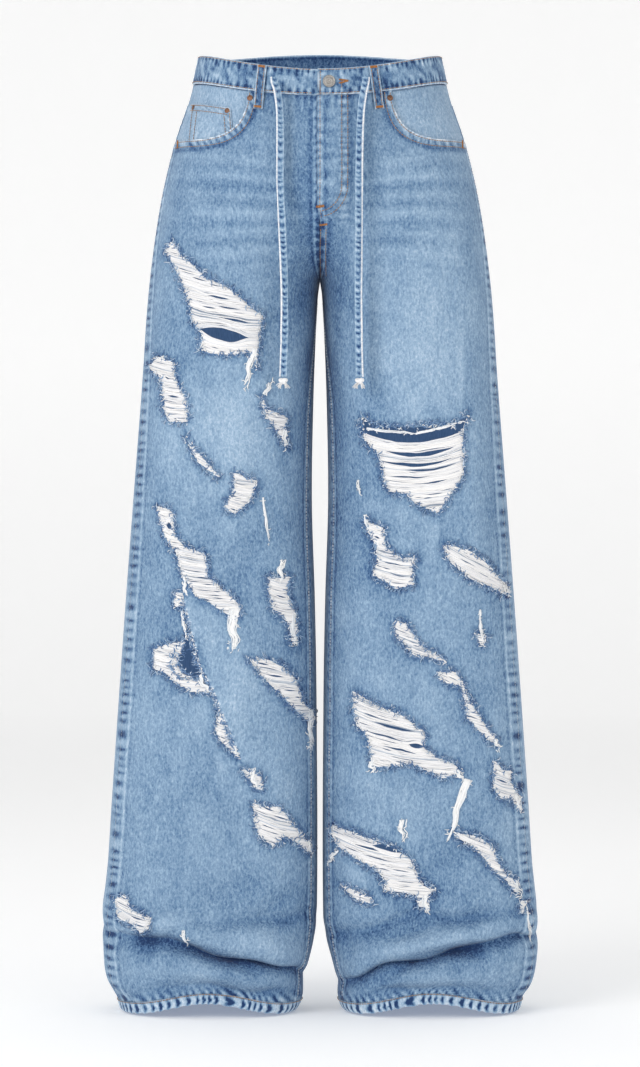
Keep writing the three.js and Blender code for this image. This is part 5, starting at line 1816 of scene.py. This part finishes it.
def band_rows():
    """Topstitching along both edges of the waistband, down its lapping end and down both sides of
    each belt loop."""
    rows = []
    turn = CENTRE_FRONT + np.linspace(-TAU - 0.008, -0.06, 700)
    for level in BAND_ROWS:
        rows.append(stitch_row(*hip_surface(turn, level, BAND_PROUD + 0.4)))
    down = np.linspace(-3, -BAND_HEIGHT + 3, 12)
    end = CENTRE_FRONT - TAU - BAND_END + 0.02
    rows.append(stitch_row(*hip_surface(end + 0 * down, down, BAND_PROUD + 0.45)))
    for name in LOOPS:
        down = np.linspace(0.02, 0.98, 40)
        turn, level, lift = loop_frame(name, down)
        for across in LOOP_ROWS:
            turns = turn + across / hip_speed(turn, level)
            rows.append(stitch_row(*hip_surface(turns, level, lift + 0.15)))
    return rows


# The buttonhole's start and end, as angles past the centre front, and half its height.
SLOT_TURNS = (0.150, 0.225)
SLOT_HALF = 2.1


def tacks():
    """Bar tacks: at both ends of each belt loop, on the fly's curve and at the pockets' ends, and
    the buttonhole's worked edge."""
    parts = []
    for name in LOOPS:
        for at in (0.035, 0.955):
            turn, level, lift = loop_frame(name, np.full(9, at))
            turns = turn + np.linspace(-4.4, 4.4, 9) / hip_speed(turn, level)
            parts.append(bar_tack(*hip_surface(turns, level, lift + 0.2), 2.6))
    for ends, width in (([(-2.6, -186), (7.5, -184)], 2.6), ([(0.5, -206), (8.5, -205)], 2.2)):
        line = spaced(ends, TACK_STEP)
        parts.append(bar_tack(*on_front("left", line[:, 0], line[:, 1], 0.4), width))
    for side in SIDES:
        line = spaced(on_side(side, [(166, -101.5), (166, -112)]), TACK_STEP)
        parts.append(bar_tack(*on_front(side, line[:, 0], line[:, 1], 0.9), 2.6))
        for x in (34, 162):
            line = spaced(on_side(side, [(x, -112 + (x - 30) * 0.06), (x + 0.5, -124)]), TACK_STEP)
            theta, level = find_on(side, line[:, 0], line[:, 1], behind=True)
            parts.append(bar_tack(*surface(side, theta, level, 2.2), 2.4))
    # The buttonhole is a slot that narrows away from the button.
    turn = CENTRE_FRONT - TAU + np.linspace(*SLOT_TURNS, 24)
    for shift in (-SLOT_HALF, SLOT_HALF):
        level = -BAND_HEIGHT / 2 + shift * (1 - np.linspace(0, 1, 24) ** 1.3)
        parts.append(bar_tack(*hip_surface(turn, level, BAND_PROUD + 0.45), 1.7))
    return parts


def hem_rows():
    """One row round each hem, just under its top."""
    rows = []
    for side in SIDES:
        theta = np.linspace(0, TAU, 420)
        rows.append(row_by_angle(side, theta, HEM_TOP - 1.0 + 0 * theta, 1.0, radius=0.55))
    return rows


# ---- Metal and drawstrings ----


def lathe(profile, point, normal, segments):
    """A profile of (radius, height) turned about the normal at a point, with closed poles."""
    profile = np.array(profile, float)
    first = unit(np.cross(normal, [0.0, 0.0, 1.0]))
    second = np.cross(normal, first)
    angle = TAU * np.arange(segments) / segments
    ring = np.cos(angle)[:, None] * first + np.sin(angle)[:, None] * second
    points = point + profile[1:-1, 0, None, None] * ring + profile[1:-1, 1, None, None] * normal
    rows = len(profile) - 2
    poles = np.stack([point + profile[k, 1] * normal for k in (0, -1)])
    points = np.concatenate([points.reshape(-1, 3), poles])
    k = np.arange(segments)
    after, start, end = (k + 1) % segments, rows * segments, rows * segments + 1
    last = (rows - 1) * segments
    caps = np.concatenate([
        np.stack([np.full(segments, start), k, after], 1),
        np.stack([np.full(segments, end), last + after, last + k], 1),
    ])
    quads = grid_faces(rows, segments, ring=True)
    return points, [quads, caps]


BUTTON_PROFILE = [
    (0, 0), (4, 0), (4, 0.8), (6.7, 0.9), (7.2, 1.2), (7.35, 1.6), (7.2, 2.1), (6.8, 2.45), (6.3, 2.55),
    (5.9, 2.4), (5.6, 2.2), (5.2, 2.2), (4.9, 2.35), (4.4, 2.45), (3.2, 2.5), (2.5, 2.48), (2.3, 2.3),
    (1.9, 2.3), (1.7, 2.48), (0.9, 2.5), (0.7, 2.3), (0, 2.3),
]
RIVET_PROFILE = [
    (0, 0), (3, 0), (3.25, 0.2), (3.2, 0.5), (2.7, 0.75), (2.2, 0.7), (1.8, 0.75), (1.4, 1.05), (0.8, 1.15),
    (0, 1.15),
]

BUTTON_SEGMENTS = 48
RIVET_SEGMENTS = 28
# The button's angle past the centre front, and each rivet's side, angle, level, width against the
# profile's, and height off the surface.
BUTTON_TURN = 0.072
RIVETS = {
    "pocket_rivet_left": ("left", 2.02, -43, 1.08, 0.75),
    "pocket_rivet_right": ("right", 2.02, -43, 1.08, 0.75),
    "coin_rivet_outer": ("right", 0.61, -61, 0.93, COIN_OFFSET + 0.3),
    "coin_rivet_inner": ("right", 1.62, -61.5, 0.93, COIN_OFFSET + 0.3),
}

# Each drawstring's route, from its eyelet down to its knot.
DRAWSTRINGS = {
    "left": [
        (53, -103.8, -37.5), (52.6, -105.4, -43), (50.6, -106.6, -52), (47.6, -108.4, -72), (45.6, -112, -110),
        (44.8, -114.5, -160), (44.4, -115.5, -220), (44, -115, -280), (44.6, -113.5, -335), (45.4, -112, -382),
    ],
    "right": [
        (-53, -103.8, -37.5), (-52.4, -105.4, -43), (-49.6, -106.6, -52), (-46.6, -108.4, -72),
        (-45.6, -112, -110), (-45.6, -114.5, -160), (-43, -115.5, -220), (-41, -115, -280),
        (-41, -113.5, -335), (-42.2, -112, -382),
    ],
}
CORD_WIDTH = 9.4
CORD_WALL = 2.6
CORD_STATIONS, CORD_AROUND = 190, 18


def cord_path(side, count):
    """Points evenly along the smooth line through a drawstring's route."""
    route = np.array(DRAWSTRINGS[side], float)
    knots = lengths_along(route)
    return cubic_between(knots, route, np.linspace(0, knots[-1], count))


def drawstring(side):
    """A flat folded strip along its route, a rounded section that puckers, with one raw white edge on the outer
    side."""
    stations = CORD_STATIONS
    path = cord_path(side, stations)
    tangent = unit(np.gradient(path, axis=0))
    outer_side = np.array([1.0 if side == "left" else -1.0, 0.0, 0.0])
    twist = 0.30 * np.sin(np.linspace(0, 9, stations) + (0 if side == "left" else 1.3))
    across = unit(outer_side - tangent * (tangent @ outer_side)[:, None])
    out = np.cross(tangent, across) * (1 if side == "left" else -1)
    wide = across * np.cos(twist)[:, None] + out * np.sin(twist)[:, None]
    thick = out * np.cos(twist)[:, None] - across * np.sin(twist)[:, None]
    cosine, sine = squared_circle(CORD_AROUND, 0.6)
    width, depth = CORD_WIDTH / 2 * cosine[None, :], CORD_WALL / 2 * sine[None, :]
    s = np.linspace(0, 350, stations)[:, None]
    ripple = puckers(s, np.abs(width + 0.5), 7.0, 3.5, 111, slant=0.5)
    narrow = 1 - 0.10 * value_noise(s / 14, 0.5, 112)
    point = path[:, None] + wide[:, None] * (width * narrow)[..., None]
    point = point + thick[:, None] * (depth * (1 + 0.25 * ripple))[..., None]
    raw = smooth_step((width - 2.6 + 0.9 * (value_noise(s / 3, 0.2, 113) - 0.5)) / 0.8)
    rub = 1.7 * ripple - 0.7 * bump((width - 1.2) / 1.2) + 1.1 * bump((width + 4.0) / 0.9)
    piece = put_strip(
        f"cord_{side}", f"drawstring_{side}", point, ["tape"],
        {"wash": 0.50 + 0 * rub, "rub": rub, "raw": raw},
    )
    return piece, path


def knot(side, rng):
    """An overhand knot, a tube along a trefoil, with a tuft of frayed yarn under it."""
    end = np.array(DRAWSTRINGS[side][-1], float)
    t = np.linspace(0, TAU, 60)
    lobes = np.stack([
        1.5 * (np.sin(t) + 1.6 * np.sin(2 * t)), 0.8 * np.sin(3 * t), 0.85 * (np.cos(t) - 1.6 * np.cos(2 * t)),
    ], -1)
    path = end + [0, 0, -4.6] + lobes
    normals = np.broadcast_to([0.0, -1.0, 0.0], path.shape)
    points, faces = tubes(path[None], np.full((1, 60), 1.9), normals[None], 8)
    parts = [(points, faces, {"shade": 0.72 + 0.12 * np.sin(np.arange(len(points)) * 0.7)})]
    count, steps = 70, 7
    s = np.linspace(0, 1, steps)[None, :]
    fan = rng.normal(0, 1, (count, 1, 2))
    reach = rng.uniform(4.5, 8.3, (count, 1))
    aside, out = fan[:, :, 0], fan[:, :, 1]
    x = end[0] + np.sign(aside) * (0.8 + 2.0 * s) + aside * (0.7 + 1.5 * s**1.3) + 0.5 * np.sin(7 * s + out)
    y = end[1] + out * (0.6 + 1.2 * s)
    z = end[2] - 5.5 - reach * s
    strands = np.stack(np.broadcast_arrays(x, y, z), -1)
    points, faces = tubes(strands, 0.58 * (1 - 0.3 * s), np.broadcast_to([0.0, -1.0, 0.0], strands.shape), 3)
    parts.append((points, faces, {"shade": np.repeat(rng.uniform(0.6, 1.0, count), steps * 3)}))
    return put_threads(f"cord_knot_{side}", parts, "thread", stands_for=[f"knot_{side}"])


# ---- Settings ----


class JeansThreadSettings(bpy.types.PropertyGroup):
    """Sizes of the threads left across the rips and of the frayed yarn round them."""

    pitch: FloatProperty(
        name="Thread Pitch", default=1.25, min=0.5, max=4.0,
        description="Distance between weft threads, in millimetres, coarse enough to show",
    )
    radius: FloatProperty(
        name="Thread Radius", description="Half the width of a weft thread, in millimetres",
        default=0.84, min=0.2, max=2.0,
    )
    spacing: FloatProperty(
        name="Fringe Spacing", description="Distance along a torn edge between frayed fibres, in millimetres",
        default=1.25, min=0.5, max=6.0,
    )
    fibre: FloatProperty(
        name="Fibre Radius", description="Half the width of a frayed fibre, in millimetres",
        default=0.72, min=0.1, max=1.5,
    )
    seed: IntProperty(name="Seed", description="Start of the random draws", default=7, min=0)


class JeansStudioSettings(bpy.types.PropertyGroup):
    """The camera, floor and lights round the jeans."""

    distance: FloatProperty(
        name="Camera Distance", description="From the camera to the side line", default=4.0, min=1.0,
        unit="LENGTH",
    )
    eye_level: FloatProperty(
        name="Camera Level", description="Height of the camera in the jeans' frame", default=-0.5617,
        unit="LENGTH",
    )
    lens: FloatProperty(name="Focal Length", description="In millimetres", default=114.4, min=10.0)
    key: FloatProperty(
        name="Key Light", description="Power of the large front light", default=88.0, unit="POWER"
    )
    fill: FloatProperty(
        name="Fill Light", description="Power of the side and top lights", default=21.0, unit="POWER"
    )
    sky: FloatProperty(
        name="Surrounding Light", description="Strength of the even light", default=0.40, min=0.0
    )
    sky_colour: FloatVectorProperty(
        name="Surrounding Colour", description="Colour of the even light", subtype="COLOR",
        default=linear("#fdfdff"), min=0.0, max=1.0,
    )


# ---- Operators ----

# The backdrop: how far its floor is under the hems, a ring in the floor, where the floor ends, the
# radius of the curve up into the wall, and the wall's top over the floor.
FLOOR_DROP = 2
FLOOR_RING = 3000
BEND_AT = 6600.0
BEND_RADIUS = 1200.0
WALL_TOP = 6500
BACKDROP_SIDES = 96


class JEANS_OT_studio(bpy.types.Operator):
    """Sets the camera, the seamless floor and backdrop, and the lights"""

    bl_idname = "jeans.studio"
    bl_label = "Studio"

    def execute(self, context):
        settings = context.scene.jeans_studio
        camera = bpy.data.objects.new("camera", bpy.data.cameras.new("camera"))
        camera.data.lens = settings.lens
        camera.data.sensor_width = 36.0
        camera.location = (0, -settings.distance, settings.eye_level)
        camera.rotation_euler = (math.pi / 2, 0, 0)
        context.scene.collection.objects.link(camera)
        context.scene.camera = camera
        context.scene.view_settings.view_transform = "Standard"
        # A round floor that curves up into a wall: a straight, a quarter circle and a straight, turned.
        floor = CAD_BOX[0][2] / MM - FLOOR_DROP
        arc = np.linspace(0, math.pi / 2, 12)
        out = BEND_AT + BEND_RADIUS * np.sin(arc)
        radius = np.concatenate([[FLOOR_RING], out, [BEND_AT + BEND_RADIUS]])
        height = np.concatenate([[0], BEND_RADIUS * (1 - np.cos(arc)), [WALL_TOP]])
        angle = TAU * np.arange(BACKDROP_SIDES) / BACKDROP_SIDES
        radius, height = radius[:, None], height[:, None]
        points = np.stack([
            radius * np.cos(angle), radius * np.sin(angle), floor + height + 0 * angle
        ], -1).reshape(-1, 3)
        points = np.concatenate([points, [[0, 0, floor]]])
        k = np.arange(BACKDROP_SIDES)
        centre = np.stack([np.full(BACKDROP_SIDES, len(points) - 1), k, (k + 1) % BACKDROP_SIDES], 1)
        faces = [grid_faces(len(radius), BACKDROP_SIDES, ring=True), centre]
        backdrop = put_mesh("backdrop", points, faces, [material("paper")], body=None)
        backdrop.visible_shadow = False
        world = bpy.data.worlds.new("even_light")
        world.use_nodes = True
        background = world.node_tree.nodes["Background"]
        background.inputs["Color"].default_value = (*settings.sky_colour, 1)
        background.inputs["Strength"].default_value = settings.sky
        context.scene.world = world
        lights = (
            ("key_light", (-2.7, -3.3, 0.9), (72, 0, -39), 2.4, settings.key),
            ("fill_light", (2.6, -2.4, -0.6), (90, 0, 47), 2.2, settings.fill),
            ("top_light", (0.2, 0.6, 2.6), (0, 0, 0), 2.4, settings.fill),
        )
        for name, place, turn, size, power in lights:
            light = bpy.data.lights.new(name, "AREA")
            light.shape = "SQUARE"
            light.size = size
            light.energy = power
            lamp = bpy.data.objects.new(name, light)
            lamp.location = place
            lamp.visible_camera = False
            lamp.rotation_euler = [math.radians(a) for a in turn]
            context.scene.collection.objects.link(lamp)
        return {"FINISHED"}


class JEANS_OT_drawstrings(bpy.types.Operator):
    """Makes both drawstrings and their knots"""

    bl_idname = "jeans.drawstrings"
    bl_label = "Drawstrings"

    def execute(self, context):
        rng = np.random.default_rng(context.scene.jeans_threads.seed)
        for side in SIDES:
            piece, path = drawstring(side)
            tied = knot(side, rng)
        return {"FINISHED"}


class JEANS_OT_panels(bpy.types.Operator):
    """Makes the fronts with their rips, the backs and the yokes"""

    bl_idname = "jeans.panels"
    bl_label = "Panels"

    def execute(self, context):
        kinds = (("front", front_panel, 0.272), ("back", back_panel, 0.385), ("yoke", yoke, 0.0098))
        for side in SIDES:
            for kind, make, area in kinds:
                make(side)
        return {"FINISHED"}


class JEANS_OT_waistband(bpy.types.Operator):
    """Makes the waistband and the belt loops"""

    bl_idname = "jeans.waistband"
    bl_label = "Waistband and Loops"

    def execute(self, context):
        waistband()
        for name in LOOPS:
            belt_loop(name)
        return {"FINISHED"}


class JEANS_OT_hems(bpy.types.Operator):
    """Makes the turned-up hems"""

    bl_idname = "jeans.hems"
    bl_label = "Hems"

    def execute(self, context):
        for side in SIDES:
            hem(side)
        return {"FINISHED"}


class JEANS_OT_pockets(bpy.types.Operator):
    """Makes the pocket facings, the coin pocket, the fly facing and the back pockets"""

    bl_idname = "jeans.pockets"
    bl_label = "Pockets and Facings"

    def execute(self, context):
        for side in SIDES:
            facing = patch(
                f"denim_pocket_facing_{side}", f"pocket_facing_{side}", side,
                on_side(side, pocket_mouth(FACING_MARGIN)), FACING_OFFSET, "facing",
            )
            pocket = patch(
                f"denim_back_pocket_{side}", f"back_pocket_{side}", side, on_side(side, BACK_POCKET),
                SEAM_GAP + 1.2, "denim", behind=True, spread=0.05,
            )
        coin = patch(
            "denim_coin_pocket", "coin_pocket", "right", on_side("right", COIN_POCKET), COIN_OFFSET, "facing",
            spread=0.02,
        )
        fly = patch("denim_fly_facing", "fly_facing", "left", FLY_FACING, COIN_OFFSET, "denim", fly=True)
        return {"FINISHED"}


class JEANS_OT_rip_threads(bpy.types.Operator):
    """Makes the white threads left across the rips, one piece for each large rip and one for the
    small rips of each leg"""

    bl_idname = "jeans.rip_threads"
    bl_label = "Threads in the Rips"

    def execute(self, context):
        settings = context.scene.jeans_threads
        rng = np.random.default_rng(settings.seed + 1)
        for name, rip in RIPS.items():
            parts = [rip_threads(name.rsplit("_", 1)[1], rip, settings, rng)]
            put_threads(f"weft_{name}", parts, "thread", stands_for=[f"threads_{name}"])
        for side, rips in SMALL_RIPS.items():
            parts = [rip_threads(side, rip, settings, rng) for rip in rips if "bare" not in rip]
            put_threads(f"weft_small_rips_{side}", parts, "thread")
        return {"FINISHED"}


class JEANS_OT_fringe(bpy.types.Operator):
    """Makes the frayed yarn round every rip"""

    bl_idname = "jeans.fringe"
    bl_label = "Fringe"

    def execute(self, context):
        settings = context.scene.jeans_threads
        rng = np.random.default_rng(settings.seed + 2)
        for side in SIDES:
            frayed = fringe(side, settings, rng)
            put_threads(f"fringe_{side}", frayed + tails(side, settings, rng), "fringe")
        return {"FINISHED"}


class JEANS_OT_stitching(bpy.types.Operator):
    """Makes the topstitching, bar tacks and hem rows"""

    bl_idname = "jeans.stitching"
    bl_label = "Stitching"

    def execute(self, context):
        groups = {
            "stitching_fronts": (fly_and_front_rows(), "stitch"),
            "stitching_legs_and_seat": (leg_rows(), "pale_stitch"),
            "stitching_waistband": (band_rows(), "stitch"),
            "bar_tacks": (tacks(), "orange_stitch"),
            "stitching_hems": (hem_rows(), "stitch"),
        }
        for name, (rows, finish) in groups.items():
            put_threads(name, rows, finish)
        return {"FINISHED"}


class JEANS_OT_metal(bpy.types.Operator):
    """Makes the shank button and the four rivets"""

    bl_idname = "jeans.metal"
    bl_label = "Button and Rivets"

    def execute(self, context):
        height = BAND_PROUD + SEAM_GAP + 0.2
        point, normal = hip_surface(CENTRE_FRONT + BUTTON_TURN, -BAND_HEIGHT / 2, height)
        points, faces = lathe(BUTTON_PROFILE, point, normal, BUTTON_SEGMENTS)
        put_mesh("metal_button", points, faces, [material("nickel")], stands_for=["button"])
        for name, (side, theta, level, scale, lift) in RIVETS.items():
            point, normal = surface(side, theta, level, lift)
            points, faces = lathe(np.array(RIVET_PROFILE) * (scale, 1), point, normal, RIVET_SEGMENTS)
            put_mesh(f"metal_{name}", points, faces, [material("copper")], stands_for=[name])
        return {"FINISHED"}


class JEANS_PT_panel(bpy.types.Panel):
    """The settings and the operators, in the order in which they run"""

    bl_idname = "JEANS_PT_panel"
    bl_label = "Ripped Wide-Leg Jeans"
    bl_space_type = "VIEW_3D"
    bl_region_type = "UI"
    bl_category = "Jeans"

    def draw(self, context):
        for group in (context.scene.jeans_threads, context.scene.jeans_studio):
            box = self.layout.box()
            for name in group.__annotations__:
                box.prop(group, name)
        for operator in OPERATORS:
            self.layout.operator(operator.bl_idname)


OPERATORS = (
    JEANS_OT_studio, JEANS_OT_drawstrings, JEANS_OT_panels, JEANS_OT_waistband, JEANS_OT_hems,
    JEANS_OT_pockets, JEANS_OT_rip_threads, JEANS_OT_fringe, JEANS_OT_stitching, JEANS_OT_metal,
)
CLASSES = (JeansThreadSettings, JeansStudioSettings, *OPERATORS, JEANS_PT_panel)


def register():
    for each in CLASSES:
        bpy.utils.register_class(each)
    bpy.types.Scene.jeans_threads = PointerProperty(type=JeansThreadSettings)
    bpy.types.Scene.jeans_studio = PointerProperty(type=JeansStudioSettings)


def unregister():
    del bpy.types.Scene.jeans_studio
    del bpy.types.Scene.jeans_threads
    for each in reversed(CLASSES):
        bpy.utils.unregister_class(each)


def main():
    """Registers the add-on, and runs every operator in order."""
    register()
    for operator in OPERATORS:
        group, name = operator.bl_idname.split(".")
        getattr(getattr(bpy.ops, group), name)()


if __name__ == "__main__":
    main()
